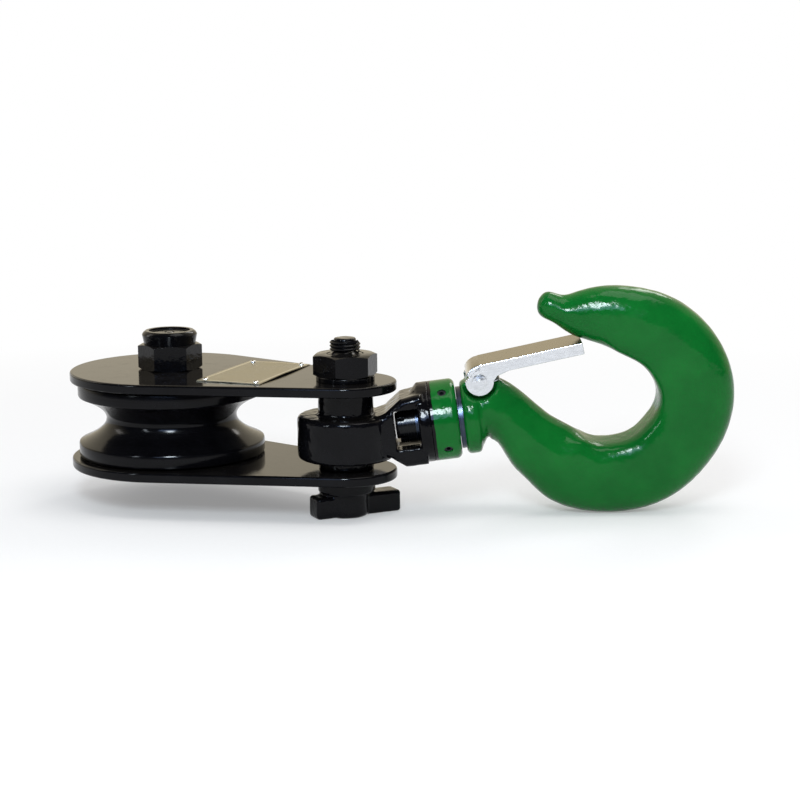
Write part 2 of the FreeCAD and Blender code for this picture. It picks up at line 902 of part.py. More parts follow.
def hook_bar():
    """Ellipses set square to the bar's line, lofted from the shank to the tip."""
    shank = Vector(flange_end.value - size("flange_round").value, 0, 0)
    middles = [shank] + [bar_middle(station[0]) for station in HOOK_BAR]
    line = Part.BSplineCurve()
    line.interpolate(middles, InitialTangent=Vector(1, 0, 0), FinalTangent=middles[-1] - middles[-2])
    neck_depth = size("hook_neck_depth")
    neck_width = size("hook_neck_width")
    sizes = [(neck_depth - 2, neck_width)]
    sizes += [(size(f"hook_{s[0]}_depth"), size(f"hook_{s[0]}_width")) for s in HOOK_BAR]
    sections = []
    for i, (middle, (depth, width)) in enumerate(zip(middles, sizes)):
        along = line.tangent(line.parameter(middle))[0]
        sections.append(bar_section(f"hook_section_{i}", middle, along, depth / 2, width / 2))
    # The tip closes as a round nose.
    middle, along = middles[-1], line.tangent(line.parameter(middles[-1]))[0]
    lift = Rotation(Vector(0, 1, 0), 9)
    nose = sizes[-1][0].value / 2
    for i, share in enumerate((0.55, 0.86), start=1):
        along = lift.multVec(along)
        shrink = math.sqrt(1 - share * share)
        here = middle + along * (nose * share)
        sections.append(bar_section(f"hook_nose_{i}", here, along, sizes[-1][0] * (shrink / 2),
                                    sizes[-1][1] * (shrink / 2)))
    tip = doc.addObject("Part::Vertex", "hook_tip")
    end = middle + along * nose
    tip.X, tip.Y, tip.Z = end.x, end.y, end.z
    sections.append(tip)
    loft = doc.addObject("Part::Loft", "hook_bar")
    loft.Sections = sections
    loft.Solid = True
    loft.Ruled = False
    doc.recompute()
    return loft


def bar_section(name, middle, along, half_depth, half_width):
    """One ellipse of the bar, its long way across the bar in the hook's own plane."""
    outward = Vector(along.z, 0, -along.x)
    section = doc.addObject("Part::Ellipse", name)
    bind(section, "MajorRadius", half_depth)
    bind(section, "MinorRadius", half_width)
    section.Placement = Placement(middle, Rotation(outward, Vector(0, 1, 0), along, "ZXY"))
    return section


def hook():
    tail, thread = size("tail_radius"), size("tail_thread_radius")
    window_end = size("window_end")
    tail_start = window_end - size("nut_washer_thickness") - size("shank_nut_length") - 2
    flange, round_off = size("flange_radius"), size("flange_round")
    shank_radius = size("hook_neck_width") / 2
    corners = [
        (tail_start, 0),
        (tail_start, thread),
        (window_end, thread),
        (window_end, tail),
        (flange_start, tail),
        (flange_start, flange - round_off),
        (flange_start + round_off, flange),
        (flange_end - round_off, flange),
        (flange_end, flange - round_off),
        (flange_end + round_off, shank_radius),
        (flange_end + round_off, 0),
    ]
    arcs = {
        5: (round_off, (flange_start + round_off, flange - round_off), False),
        7: (round_off, (flange_end - round_off, flange - round_off), False),
    }
    shank = turned("hook_shank", corners, arcs, axis="H_Axis")
    pin_x, pin_z = size("latch_pin_along"), size("latch_pin_up")
    half_lug = size("lug_width") / 2
    lug = cylinder("hook_lug_round", size("lug_radius"), size("lug_width"), at(pin_x, -half_lug, pin_z, ALONG_Y))
    ramp = new_body("hook_lug_ramp")
    corners = [
        (flange_start + round_off, 0),
        (pin_x + size("lug_radius"), 0),
        (pin_x + size("lug_radius"), pin_z),
        (pin_x - size("lug_radius") * 0.8, pin_z + size("lug_radius") * 0.6),
        (flange_start + round_off, flange - 1),
    ]
    pad(ramp, "lug_ramp_blank", outline(ramp, "lug_ramp_side", "XZ_Plane", corners), size("lug_width"), True)
    whole = fuse("hook_whole", [hook_bar(), shank, lug, ramp])
    tools = [cylinder("hook_pin_hole", size("latch_pin_radius") + size("running_clearance"), half_lug * 4,
                      at(pin_x, -(half_lug * 2), pin_z, ALONG_Y))]
    seat = size("ear_radius") + size("ear_seat_gap")
    length = size("latch_width")
    for i, side in enumerate((1, -1)):
        start = half_lug if side > 0 else -half_lug - length
        tools.append(cylinder(f"hook_ear_seat_{i}", seat, length, at(pin_x, start, pin_z, ALONG_Y)))
    cross = size("cross_pin_radius")
    nut_end = window_end - size("nut_washer_thickness")
    nut_start = nut_end - size("shank_nut_length")
    pin_middle = nut_start + cross
    tools.append(cylinder("hook_cross_hole", cross, thread * 4, at(pin_middle, 0, -(thread * 2))))
    node(cut("hook", whole, fuse("hook_tools", tools)), "hook", hook_frame)

    nut = ring_along("shank_nut_ring", thread, size("shank_nut_radius"), nut_start, nut_end)
    slots = []
    for i in range(3):
        slot = box(f"shank_nut_slot_{i}", cross * 3.2, size("shank_nut_radius") * 4, cross * 2,
                   at(nut_start - cross, -(size("shank_nut_radius") * 2), -cross))
        slot.Placement = Placement(Vector(), Rotation(Vector(1, 0, 0), 30 + 60 * i)) * slot.Placement
        slots.append(slot)
    node(cut("shank_nut", nut, fuse("shank_nut_slots", slots)), "shank_nut", hook_frame)
    pin = cylinder("shank_nut_pin", cross, size("shank_nut_radius") * 1.96,
                   at(pin_middle, 0, -(size("shank_nut_radius") * 0.98)))
    node(pin, "shank_nut_pin", hook_frame * pin.Placement)
    washer = ring_along("nut_washer", thread, size("shank_nut_radius"), nut_end,
                        window_end - size("side_clearance"))
    node(washer, "nut_washer", hook_frame)
    start = size("collar_end") + size("side_clearance")
    thrust = ring_along("thrust_washer", tail, size("thrust_washer_radius"), start,
                        flange_start)
    node(thrust, "thrust_washer", hook_frame)


hook()


# Latch: a folded channel with two ears, its riveted pin and a double torsion spring


latch_frame = hook_frame * Placement(
    Vector(size("latch_pin_along").value, 0, size("latch_pin_up").value),
    Rotation(Vector(0, 1, 0), -size("latch_slope").value),
)


def latch():
    length, rise, depth = size("latch_length"), size("latch_rise"), size("latch_flange")
    ear, sheet_metal, width = size("ear_radius"), size("latch_sheet"), size("latch_width")
    lower = rise - depth
    lean = size("ear_lean")
    corners = [
        (length, rise),
        (ear * 0.2, rise),
        (-ear, ear * 0.25),
        (-ear, 0),
        (ear * cosine(lean), -(ear * sine(lean))),
        (ear * 1.3, lower * 0.45),
        (ear * 2.2, lower),
        (length, lower),
    ]
    arcs = {3: (ear, (0, 0), True)}
    body = new_body("latch")
    pad(body, "latch_blank", outline(body, "latch_side", "XZ_Plane", corners, arcs), width, True)
    roof = rise - sheet_metal
    hollow = [
        (length + 2, roof),
        (-(ear * 2), roof),
        (-(ear * 2), -(ear * 2)),
        (length + 2, -(ear * 2)),
    ]
    pocket(body, "latch_hollow", outline(body, "latch_hollow_side", "XZ_Plane", hollow),
           width - sheet_metal * 2, True)
    hole = size("latch_pin_radius") + size("running_clearance")
    pocket(body, "latch_pin_hole", circle(body, "latch_pin_circle", "XZ_Plane", 0, 0, hole))
    node(body, "latch", latch_frame)

    pin, head, tall = size("latch_pin_radius"), size("rivet_head_radius"), size("rivet_head_height")
    reach = width / 2 + size("side_clearance") * 0.5
    nub = pin * 0.75
    half = [
        (0, -(reach + tall * 1.5)),
        (nub, -(reach + tall * 1.5)),
        (nub, -(reach + tall)),
        (head, -(reach + tall * 0.7)),
        (head, -reach),
        (pin, -reach),
        (pin, reach),
        (head, reach),
        (head, reach + tall * 0.7),
        (nub, reach + tall),
        (nub, reach + tall * 1.5),
        (0, reach + tall * 1.5),
    ]
    rivet = new_body("latch_pin")
    turn(rivet, "latch_pin_turned", outline(rivet, "latch_pin_half", "XY_Plane", half))
    node(rivet, "latch_pin", latch_frame)


latch()


def neck_top(along):
    """How high the hook's neck stands above the shank's axis, halfway across it."""
    upright = Part.makeLine(Vector(along, 0, 0), Vector(along, 0, size("bowl_along").value))
    upright.Placement = hook_frame
    met = next(thing for thing in NODES if thing.Label == "hook").Shape.common(upright)
    ends = [hook_frame.inverse().multVec(vertex.Point).z for vertex in met.Edges[0].Vertexes]
    return max(ends)


def latch_spring():
    """One wire: a coil on each side of the lug, joined by a bridge that rests on the hook's neck,
    with both ends pressing up under the latch's roof."""
    radius, half_wire = size("spring_coil_radius").value, size("spring_wire").value / 2
    pitch = size("spring_wire").value + size("spring_coil_gap").value
    clearance = size("side_clearance").value
    pin_along, pin_up = size("latch_pin_along").value, size("latch_pin_up").value
    start = size("lug_width").value / 2 + clearance + half_wire
    reach = size("spring_bridge_reach").value
    drop = neck_top(pin_along + reach) + half_wire + clearance - pin_up
    # Both are angles round the pin, seen from the side: where the bridge's leg meets the coil, and
    # how steeply the other leg rises to the roof.
    meets = math.degrees(math.atan2(drop, reach) - math.acos(radius / math.hypot(reach, drop)))
    leg = size("spring_roof_leg").value
    room = size("latch_rise").value - size("latch_sheet").value - half_wire - clearance
    rise = size("latch_slope").value + math.degrees(math.asin((room - radius) / leg))
    winding = 630 - rise + meets

    # The coil is half turns of a ring, each tilted so that it ends half a pitch further out.
    pieces = []
    laid = Placement(Vector(0, start, 0), Rotation(Vector(0, 1, 0), -meets) * Rotation(Vector(1, 0, 0), -90))
    tilt = Rotation(Vector(0, 1, 0), math.degrees(math.asin(pitch / 4 / radius)))
    for i in range(math.ceil(winding / 180)):
        step = Placement(Vector(0, 0, pitch * (0.25 + i / 2)), Rotation(Vector(0, 0, 1), 180 * i) * tilt)
        sweep = min(180, winding - 180 * i)
        arc = Part.makeTorus(radius, half_wire, Vector(), Vector(0, 0, 1), -180, 180, sweep)
        arc.Placement = laid * step
        pieces.append(arc)
    # The roof's leg goes on straight from the end of the coil.
    spoke = Rotation(Vector(0, 0, 1), sweep)
    leaves = (laid * step).multVec(spoke.multVec(Vector(radius, 0, 0)))
    heading = (laid * step).Rotation.multVec(spoke.multVec(Vector(0, 1, 0)))
    pieces.append(Part.makeCylinder(half_wire, leg, leaves, heading))
    # The bridge's leg comes from the start of the coil and turns a rounded corner.
    enters = laid.multVec(Vector(radius, 0, 0))
    corner = Vector(reach, enters.y, drop)
    outward, across, bend = (corner - enters).normalize(), Vector(0, 1, 0), size("spring_bend").value
    turns, lands = corner - outward * bend, corner - across * bend
    pieces.append(Part.makeCylinder(half_wire, enters.distanceToPoint(turns), enters, outward))
    elbow = Part.makeTorus(bend, half_wire, Vector(), Vector(0, 0, 1), -180, 180, 90)
    elbow.Placement = Placement(turns - across * bend, Rotation(across, outward, across.cross(outward), "XYZ"))
    pieces.append(elbow)
    pieces.append(Part.makeCylinder(half_wire, lands.y, lands, -across))
    near_side = pieces[0].multiFuse(pieces[1:])
    thing = doc.addObject("Part::Feature", "latch_spring")
    thing.Shape = near_side.fuse(near_side.mirror(Vector(), Vector(0, 1, 0))).removeSplitter()
    return thing


node(latch_spring(), "latch_spring", hook_frame * at(size("latch_pin_along"), 0, size("latch_pin_up")))


# Every object and every sub-part is sound before anything is written


doc.recompute()
for thing in doc.Objects:
    if {"Invalid", "Error"} & set(thing.State):
        raise ValueError(f"{thing.Name} failed: {thing.State}")
os.makedirs("parts", exist_ok=True)
for thing in NODES:
    shape = thing.Shape
    if shape.isNull() or not shape.isValid() or not shape.Solids:
        raise ValueError(f"{thing.Label} is not a sound solid")
for thing in NODES:
    thing.Shape.exportStep(f"parts/{thing.Label}.step")
    print(thing.Label, len(thing.Shape.Solids), round(thing.Shape.Volume))
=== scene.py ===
# %% [markdown]
# # A snatch block, dressed for its picture
#
# A snatch block is a rope pulley whose side plate opens, so that a rope can be laid in from the side.
# Two thick steel plates hold a grooved sheave. A bolt with a cross handle carries the forged yoke, and
# a heavy hook turns in the yoke's collar. This file takes the engineering model as it is and gives it
# the surfaces of the real thing: thick gloss enamel, bright zinc, turned steel and a blank name plate.
#
# Everything is in metres and in the frame of the engineering model, so nothing has to be fitted by eye.

# %% Load the fixed frame
import json
import math

import bmesh
import bpy
import numpy as np
from mathutils import Matrix, Vector


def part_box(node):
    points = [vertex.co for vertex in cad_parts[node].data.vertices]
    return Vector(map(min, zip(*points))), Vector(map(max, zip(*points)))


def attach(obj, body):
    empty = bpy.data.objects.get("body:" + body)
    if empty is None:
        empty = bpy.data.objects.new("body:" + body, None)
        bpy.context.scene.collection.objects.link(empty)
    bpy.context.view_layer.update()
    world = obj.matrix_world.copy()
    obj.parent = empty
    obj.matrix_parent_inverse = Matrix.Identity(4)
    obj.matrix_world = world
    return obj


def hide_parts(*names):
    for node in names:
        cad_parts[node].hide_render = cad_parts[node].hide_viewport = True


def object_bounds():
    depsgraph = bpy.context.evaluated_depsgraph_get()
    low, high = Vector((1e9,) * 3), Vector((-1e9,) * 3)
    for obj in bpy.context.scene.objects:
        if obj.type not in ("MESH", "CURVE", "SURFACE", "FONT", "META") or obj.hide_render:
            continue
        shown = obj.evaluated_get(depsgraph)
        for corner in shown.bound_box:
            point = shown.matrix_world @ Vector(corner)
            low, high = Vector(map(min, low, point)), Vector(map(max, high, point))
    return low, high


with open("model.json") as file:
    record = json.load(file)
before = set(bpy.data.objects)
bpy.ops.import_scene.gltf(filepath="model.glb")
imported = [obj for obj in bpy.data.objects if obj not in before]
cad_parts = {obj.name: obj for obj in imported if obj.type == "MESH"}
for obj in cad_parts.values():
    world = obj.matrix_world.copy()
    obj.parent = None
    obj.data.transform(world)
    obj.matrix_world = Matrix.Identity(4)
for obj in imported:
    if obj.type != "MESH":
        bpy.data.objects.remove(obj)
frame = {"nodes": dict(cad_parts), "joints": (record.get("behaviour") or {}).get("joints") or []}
nodes = frame["nodes"]
cad_low, cad_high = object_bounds()
print("frame", len(nodes), "nodes, box", [round(c, 4) for c in cad_high - cad_low])

# %% [markdown]
# ## Where the moving parts point
#
# The yoke stands turned on its bolt and the hook leans in its collar, so neither follows the world's
# axes. Their directions could be typed in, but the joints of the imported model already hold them. The
# shank's way and the latch pin's way are read from there, and their cross product is the hook's own up.

# %% Read the directions from the joints
joints = {joint["name"]: joint for joint in frame["joints"]}
bolt_place = Vector(joints["yoke_swing"]["pos_m"])
swivel_place = Vector(joints["hook_swivel"]["pos_m"])
shank_way = Vector(joints["hook_swivel"]["axis"]).normalized()
latch_way = Vector(joints["latch_hinge"]["axis"]).normalized()
hook_up = shank_way.cross(latch_way).normalized()
MM = 0.001
print("shank points", [round(c, 3) for c in shank_way], "hook up", [round(c, 3) for c in hook_up])

# %% [markdown]
# ## A short way to write shader nodes
#
# A material is a net of small nodes. Written out in full, each one takes five lines, and the idea gets
# lost between them. These helpers add a node, set its properties and feed its inputs in one call: an
# input may get a plain number or the output of another node.

# %% Helpers for node trees
def feed(tree, node, feeds):
    """Feeds a node's inputs by name or by number. A socket is linked, anything else is set."""
    for key, value in feeds.items():
        if isinstance(value, bpy.types.NodeSocket):
            tree.links.new(value, node.inputs[key])
        else:
            node.inputs[key].default_value = value


def add(tree, kind, feeds, **settings):
    """Adds a node to a tree, sets its properties, then feeds its inputs."""
    made = tree.nodes.new(kind)
    for name, value in settings.items():
        setattr(made, name, value)
    feed(tree, made, feeds)
    return made


def use(tree, group, feeds):
    """Places a node group in a material with its own values."""
    return add(tree, "ShaderNodeGroup", feeds, node_tree=group).outputs


def spread(tree, value, low, high, to_low=0.0, to_high=1.0):
    """A value stretched so that low..high becomes to_low..to_high, held at both ends."""
    feeds = {"Value": value, "From Min": low, "From Max": high, "To Min": to_low, "To Max": to_high}
    return add(tree, "ShaderNodeMapRange", feeds, clamp=True).outputs["Result"]


def math_of(tree, operation, first, second):
    """One sum of two numbers."""
    return add(tree, "ShaderNodeMath", {0: first, 1: second}, operation=operation).outputs["Value"]


def times(tree, first, second):
    """Two numbers multiplied."""
    return math_of(tree, "MULTIPLY", first, second)


def plus(tree, first, second):
    """Two numbers added."""
    return math_of(tree, "ADD", first, second)


def vector_math(tree, operation, first, second):
    """The number that a sum of two vectors gives, such as their dot product."""
    return add(tree, "ShaderNodeVectorMath", {0: first, 1: second}, operation=operation).outputs["Value"]


def mapped(tree, place, **feeds):
    """A place read in another frame: moved back, turned back and divided by the scale."""
    feeds = {"Vector": place} | {name.capitalize(): tuple(value) for name, value in feeds.items()}
    return add(tree, "ShaderNodeMapping", feeds, vector_type="TEXTURE").outputs["Vector"]


def blend_colours(tree, share, first, second):
    """The first colour where share is 0, the second where it is 1."""
    return add(tree, "ShaderNodeMix", {"Factor": share, 6: first, 7: second}, data_type="RGBA").outputs[2]


def noise(tree, place, scale, detail=2.0, roughness=0.5, distortion=0.0):
    """A soft random pattern between 0 and 1. Its spots are about 1/scale metres across."""
    feeds = {"Vector": place, "Scale": scale, "Detail": detail, "Roughness": roughness,
             "Distortion": distortion}
    return add(tree, "ShaderNodeTexNoise", feeds).outputs["Fac"]


def bumped(tree, height, strength, distance):
    """The normal of a surface whose fine relief follows height. Distance is in metres."""
    feeds = {"Strength": strength, "Distance": distance, "Height": height}
    return add(tree, "ShaderNodeBump", feeds).outputs["Normal"]


def facing_of(tree):
    """Which way the surface faces on the object itself."""
    return add(tree, "ShaderNodeTexCoord", {}).outputs["Normal"]


def stored(tree, name):
    """A value that the mesh holds at each corner under that name."""
    return add(tree, "ShaderNodeAttribute", {}, attribute_name=name).outputs["Fac"]


def rgb(red, green, blue):
    """A colour read off a screen, from 0 to 255, as the linear numbers that shaders want."""
    parts = np.array([red, green, blue]) / 255
    linear = np.where(parts <= 0.04045, parts / 12.92, ((parts + 0.055) / 1.055) ** 2.4)
    return (*linear.tolist(), 1.0)


def new_group(name, takes, gives):
    """An empty node group, with its inputs as (name, default), or (name, None) for a vector."""
    group = bpy.data.node_groups.new(name, "ShaderNodeTree")
    for socket, default in takes:
        kind = "NodeSocketVector" if default is None else "NodeSocketFloat"
        made = group.interface.new_socket(socket, in_out="INPUT", socket_type=kind)
        if default is not None:
            made.default_value = default
    for socket in gives:
        kind = "NodeSocketVector" if socket == "Normal" else "NodeSocketFloat"
        group.interface.new_socket(socket, in_out="OUTPUT", socket_type=kind)
    return group, group.nodes.new("NodeGroupInput").outputs, group.nodes.new("NodeGroupOutput")


print("node helpers ready")

# %% [markdown]
# ## Thick enamel
#
# The block was dipped or brushed with gloss enamel over forged and burnt steel. Such a coat isn't
# flat: it has orange peel a few millimetres wide, slow runs where it was thick, and small dull patches
# where it was handled. One group makes all three, so the black and the green parts can share it. Bump
# was chosen and not real relief, because the waves are a few hundredths of a millimetre deep.

# %% Group: enamel skin
enamel_skin, takes, end = new_group(
    "enamel_skin", [("Place", None), ("Gloss", 0.12), ("Dull", 0.3), ("Peel", 0.05)],
    ["Shade", "Roughness", "Normal"])
runs = noise(enamel_skin, takes["Place"], 38.0, 3.0, 0.55)
handled = noise(enamel_skin, takes["Place"], 110.0, 4.0, 0.6, 0.4)
dulled = spread(enamel_skin, handled, 0.52, 0.72)
peel = noise(enamel_skin, takes["Place"], 420.0, 1.5, 0.4)
nibs = spread(enamel_skin, noise(enamel_skin, takes["Place"], 900.0, 0.0), 0.76, 0.84)
waves = plus(enamel_skin, times(enamel_skin, runs, 2.5), peel)
relief = plus(enamel_skin, waves, times(enamel_skin, nibs, 0.35))
feed(enamel_skin, end, {
    "Shade": spread(enamel_skin, runs, 0.3, 0.7),
    "Roughness": spread(enamel_skin, dulled, 0.0, 1.0, takes["Gloss"], takes["Dull"]),
    "Normal": bumped(enamel_skin, relief, takes["Peel"], 0.0022),
})
print("group", enamel_skin.name, len(enamel_skin.nodes), "nodes")

# %% [markdown]
# ## Worn edges
#
# Paint chips first on sharp outer edges. Where a mesh is dense enough, the script works out how sharp
# it is at every vertex and stores that as an attribute named `edge`. The group breaks that band up with
# noise, so that only small flecks are bare. A piece with no such attribute simply has no chips there.

# %% Group: chipped edges
chipped, takes, end = new_group("chipped_edges", [("Place", None), ("Amount", 0.5)], ["Bare"])
flecks = noise(chipped, takes["Place"], 330.0, 5.0, 0.7)
patchy = noise(chipped, takes["Place"], 60.0, 1.0)
mixed = times(chipped, times(chipped, stored(chipped, "edge"), flecks), patchy)
limit = math_of(chipped, "SUBTRACT", 0.62, times(chipped, takes["Amount"], 0.4))
feed(chipped, end, {"Bare": spread(chipped, math_of(chipped, "SUBTRACT", mixed, limit), 0.0, 0.03)})
print("group", chipped.name, len(chipped.nodes), "nodes")

# %% [markdown]
# ## A film of dust
#
# Steel that lies in a shop gathers a thin film of pale dust on what faces up. The group finds such
# faces by the surface's own normal, and thins the film with noise. It also serves as the faint haze
# that takes the edge off a perfect gloss.

# %% Group: dust film
dust_film, takes, end = new_group("dust_film", [("Place", None), ("Amount", 0.1)], ["Dust"])
upward = add(dust_film, "ShaderNodeSeparateXYZ", {"Vector": facing_of(dust_film)}).outputs["Z"]
settled = spread(dust_film, upward, 0.55, 1.0)
patches = spread(dust_film, noise(dust_film, takes["Place"], 70.0, 6.0, 0.65), 0.35, 0.75, 0.35, 1.0)
feed(dust_film, end, {"Dust": times(dust_film, times(dust_film, settled, patches), takes["Amount"])})
print("group", dust_film.name, len(dust_film.nodes), "nodes")

# %% [markdown]
# ## Rings from the lathe
#
# The sheave, washers and bushes were turned, and the tool leaves fine rings. On a turned part every
# mark depends only on how far a point is from the axis and how high it is along it. So the group turns
# the place into (distance, height) and reads noise there: the rings close by themselves, on flat faces
# and in a groove alike. A wave texture would have done for one face only.

# %% Group: turned rings
turned_rings, takes, end = new_group(
    "turned_rings", [("Place", None), ("Depth", 0.1), ("Gloss", 0.2), ("Dull", 0.4)],
    ["Rings", "Roughness", "Normal"])
apart = add(turned_rings, "ShaderNodeSeparateXYZ", {"Vector": takes["Place"]}).outputs
flat_place = add(turned_rings, "ShaderNodeCombineXYZ", {"X": apart["X"], "Y": apart["Y"]}).outputs["Vector"]
radius = add(turned_rings, "ShaderNodeVectorMath", {0: flat_place}, operation="LENGTH").outputs["Value"]
profile = add(turned_rings, "ShaderNodeCombineXYZ", {"X": radius, "Y": apart["Z"]}).outputs["Vector"]
fine = noise(turned_rings, profile, 1500.0, 2.0, 0.6)
coarse = noise(turned_rings, profile, 260.0, 1.0)
rings = plus(turned_rings, times(turned_rings, fine, 0.35), coarse)
feed(turned_rings, end, {
    "Rings": fine,
    "Roughness": spread(turned_rings, fine, 0.3, 0.7, takes["Gloss"], takes["Dull"]),
    "Normal": bumped(turned_rings, rings, takes["Depth"], 0.0012),
})
print("group", turned_rings.name, len(turned_rings.nodes), "nodes")

# %% [markdown]
# ## Bright zinc
#
# The latch is pressed sheet with a zinc coat: nearly white, a little cloudy, with soft rolling marks
# along its length and tiny crystals. Cells give the crystals, stretched noise the rolling marks.

# %% Group: zinc bloom
zinc_bloom, takes, end = new_group(
    "zinc_bloom", [("Place", None), ("Along", None), ("Gloss", 0.22), ("Dull", 0.42)],
    ["Cloud", "Roughness", "Normal"])
cells = add(zinc_bloom, "ShaderNodeTexVoronoi", {"Vector": takes["Place"], "Scale": 620.0}).outputs["Color"]
crystal = add(zinc_bloom, "ShaderNodeSeparateXYZ", {"Vector": cells}).outputs["X"]
cloud = noise(zinc_bloom, takes["Place"], 150.0, 4.0, 0.6)
rolled = noise(zinc_bloom, takes["Along"], 1.0, 3.0, 0.6)
softer = plus(zinc_bloom, times(zinc_bloom, cloud, 0.3), times(zinc_bloom, rolled, 0.5))
dimmed = plus(zinc_bloom, times(zinc_bloom, crystal, 0.12), softer)
feed(zinc_bloom, end, {
    "Cloud": dimmed,
    "Roughness": spread(zinc_bloom, dimmed, 0.2, 0.7, takes["Gloss"], takes["Dull"]),
    "Normal": bumped(zinc_bloom, rolled, 0.12, 0.0006),
})
print("group", zinc_bloom.name, len(zinc_bloom.nodes), "nodes")

# %% [markdown]
# ## The enamels
#
# Black and green enamel differ in colour only. The shader stands in the material itself, and the
# groups feed its colour, roughness, metallic and normal. Under a chip the steel shows, so the same mask
# that changes the colour also turns the metal on.
#
# Two pieces carry two colours. The black of the yoke laps over the near rim of the green collar, where
# it was masked by hand, and the hook's tail inside the yoke is dark steel, its darkness also a painted
# shade for the yoke's window. Both borders follow the shank, so the place is measured along the shank's
# way with a dot product. A little noise makes the collar's border as uneven as masking tape does.

# %% Materials: the enamels
DUST, BARE = rgb(150, 138, 115), rgb(150, 150, 152)
DEEP_BLACK, PALE_BLACK = rgb(5, 5, 7), rgb(13, 13, 16)
DEEP_GREEN, PALE_GREEN = rgb(8, 90, 32), rgb(14, 104, 38)
WEAR, FILM = 0.3, 0.02
BLACK_MIRROR, GREEN_MIRROR = 0.13, 0.16
BLACK_SHARE_OF_COLLAR = 0.12


def start_material(name):
    """An empty node material, its shader, and the place on the object that patterns are read at."""
    material = bpy.data.materials.new(name)
    material.use_nodes = True
    tree = material.node_tree
    shader = tree.nodes["Principled BSDF"]
    place = tree.nodes.new("ShaderNodeTexCoord").outputs["Object"]
    return material, tree, shader, place


def reach_along_shank(node):
    """The least and the greatest distance along the shank that a node reaches."""
    mesh = nodes[node].data
    places = np.empty(len(mesh.vertices) * 3)
    mesh.vertices.foreach_get("co", places)
    far = places.reshape(-1, 3) @ np.array(shank_way)
    return float(far.min()), float(far.max())


def black(tree, place, shade):
    """Black enamel all over."""
    return blend_colours(tree, shade, DEEP_BLACK, PALE_BLACK)


def green(tree, place, shade):
    """Green enamel all over."""
    return blend_colours(tree, shade, DEEP_GREEN, PALE_GREEN)


def black_then_green(tree, place, shade):
    """The collar's two colours, parted at the paint line."""
    uneven = times(tree, noise(tree, place, 160.0, 3.0), 0.0012)
    past = plus(tree, vector_math(tree, "DOT_PRODUCT", place, tuple(shank_way)), uneven)
    side = spread(tree, past, paint_line, paint_line + 0.0005)
    return blend_colours(tree, side, black(tree, place, shade), green(tree, place, shade))


def green_past_collar(tree, place, shade):
    """Green on the hook and dark steel on its tail inside the yoke, which is also painted shade there."""
    along = vector_math(tree, "DOT_PRODUCT", place, tuple(shank_way))
    outside = spread(tree, along, collar_far + 0.0005, collar_far + 0.001)
    # Painted shade in part: the tail's dark also keeps the yoke's window shaded.
    return blend_colours(tree, outside, rgb(20, 20, 22), green(tree, place, shade))


def enamel(name, paint, gloss, dull, peel, mirror):
    """Gloss enamel: its skin, then chips down to steel, then dust. paint turns the shade into a colour."""
    material, tree, shader, place = start_material(name)
    skin = use(tree, enamel_skin, {"Place": place, "Gloss": gloss, "Dull": dull, "Peel": peel})
    bare = use(tree, chipped, {"Place": place, "Amount": WEAR})["Bare"]
    film = use(tree, dust_film, {"Place": place, "Amount": FILM})["Dust"]
    worn = blend_colours(tree, bare, paint(tree, place, skin["Shade"]), BARE)
    worn_rough = add(tree, "ShaderNodeMix", {"Factor": bare, 2: skin["Roughness"], 3: 0.36}).outputs[0]
    feed(tree, shader, {
        "Base Color": blend_colours(tree, film, worn, DUST),
        "Metallic": bare,
        "Roughness": plus(tree, worn_rough, times(tree, film, 0.5)),
        "Normal": skin["Normal"],
        "Specular IOR Level": mirror,
    })
    return material


collar_near, collar_far = reach_along_shank("bearing_collar")
paint_line = collar_near + BLACK_SHARE_OF_COLLAR * (collar_far - collar_near)
black_enamel = enamel("black_enamel", black, 0.1, 0.22, 0.05, BLACK_MIRROR)
plate_enamel = enamel("plate_enamel", black, 0.09, 0.18, 0.008, BLACK_MIRROR)
collar_enamel = enamel("collar_enamel", black_then_green, 0.1, 0.22, 0.05, GREEN_MIRROR)
green_enamel = enamel("green_enamel", green_past_collar, 0.13, 0.27, 0.055, GREEN_MIRROR)
print("collar", round(collar_near, 4), "to", round(collar_far, 4), "is green past", round(paint_line, 4))

# %% [markdown]
# ## The metals and the nylon ring
#
# The sheave is turned and then painted black, so it gets the lathe's rings under its gloss. The shank's
# nut is black too, which also paints shade into the yoke's window; its washers are oiled steel, and the
# bushes bronze. The rings of the parts that sit on the tilted shank are read in the shank's own frame,
# which a Mapping node turns the place into.
#
# The latch's zinc is bright on its sides. Its roof carries a painted reflection: a tan colour, as if
# mirroring the warm wall, chosen by how far the surface faces the hook's up.

# %% Materials: turned black, steel, bronze
SHANK_TURN = shank_way.to_track_quat("Z", "Y").to_euler()
BRONZE = rgb(150, 110, 58), rgb(186, 146, 84)
BLACK = DEEP_BLACK, PALE_BLACK


def turned(name, colours, metallic, gloss, dull, depth, mirror=0.5, on_shank=False):
    """A turned surface about the frame's Z axis, or about the shank."""
    material, tree, shader, place = start_material(name)
    if on_shank:
        place = mapped(tree, place, location=swivel_place, rotation=SHANK_TURN)
    marks = use(tree, turned_rings, {"Place": place, "Depth": depth, "Gloss": gloss, "Dull": dull})
    stain = noise(tree, place, 90.0, 4.0, 0.6)
    share = plus(tree, times(tree, marks["Rings"], 0.5), times(tree, stain, 0.5))
    feed(tree, shader, {
        "Base Color": blend_colours(tree, spread(tree, share, 0.35, 0.65), *colours),
        "Roughness": marks["Roughness"],
        "Normal": marks["Normal"],
        "Metallic": metallic,
        "Specular IOR Level": mirror,
    })
    return material


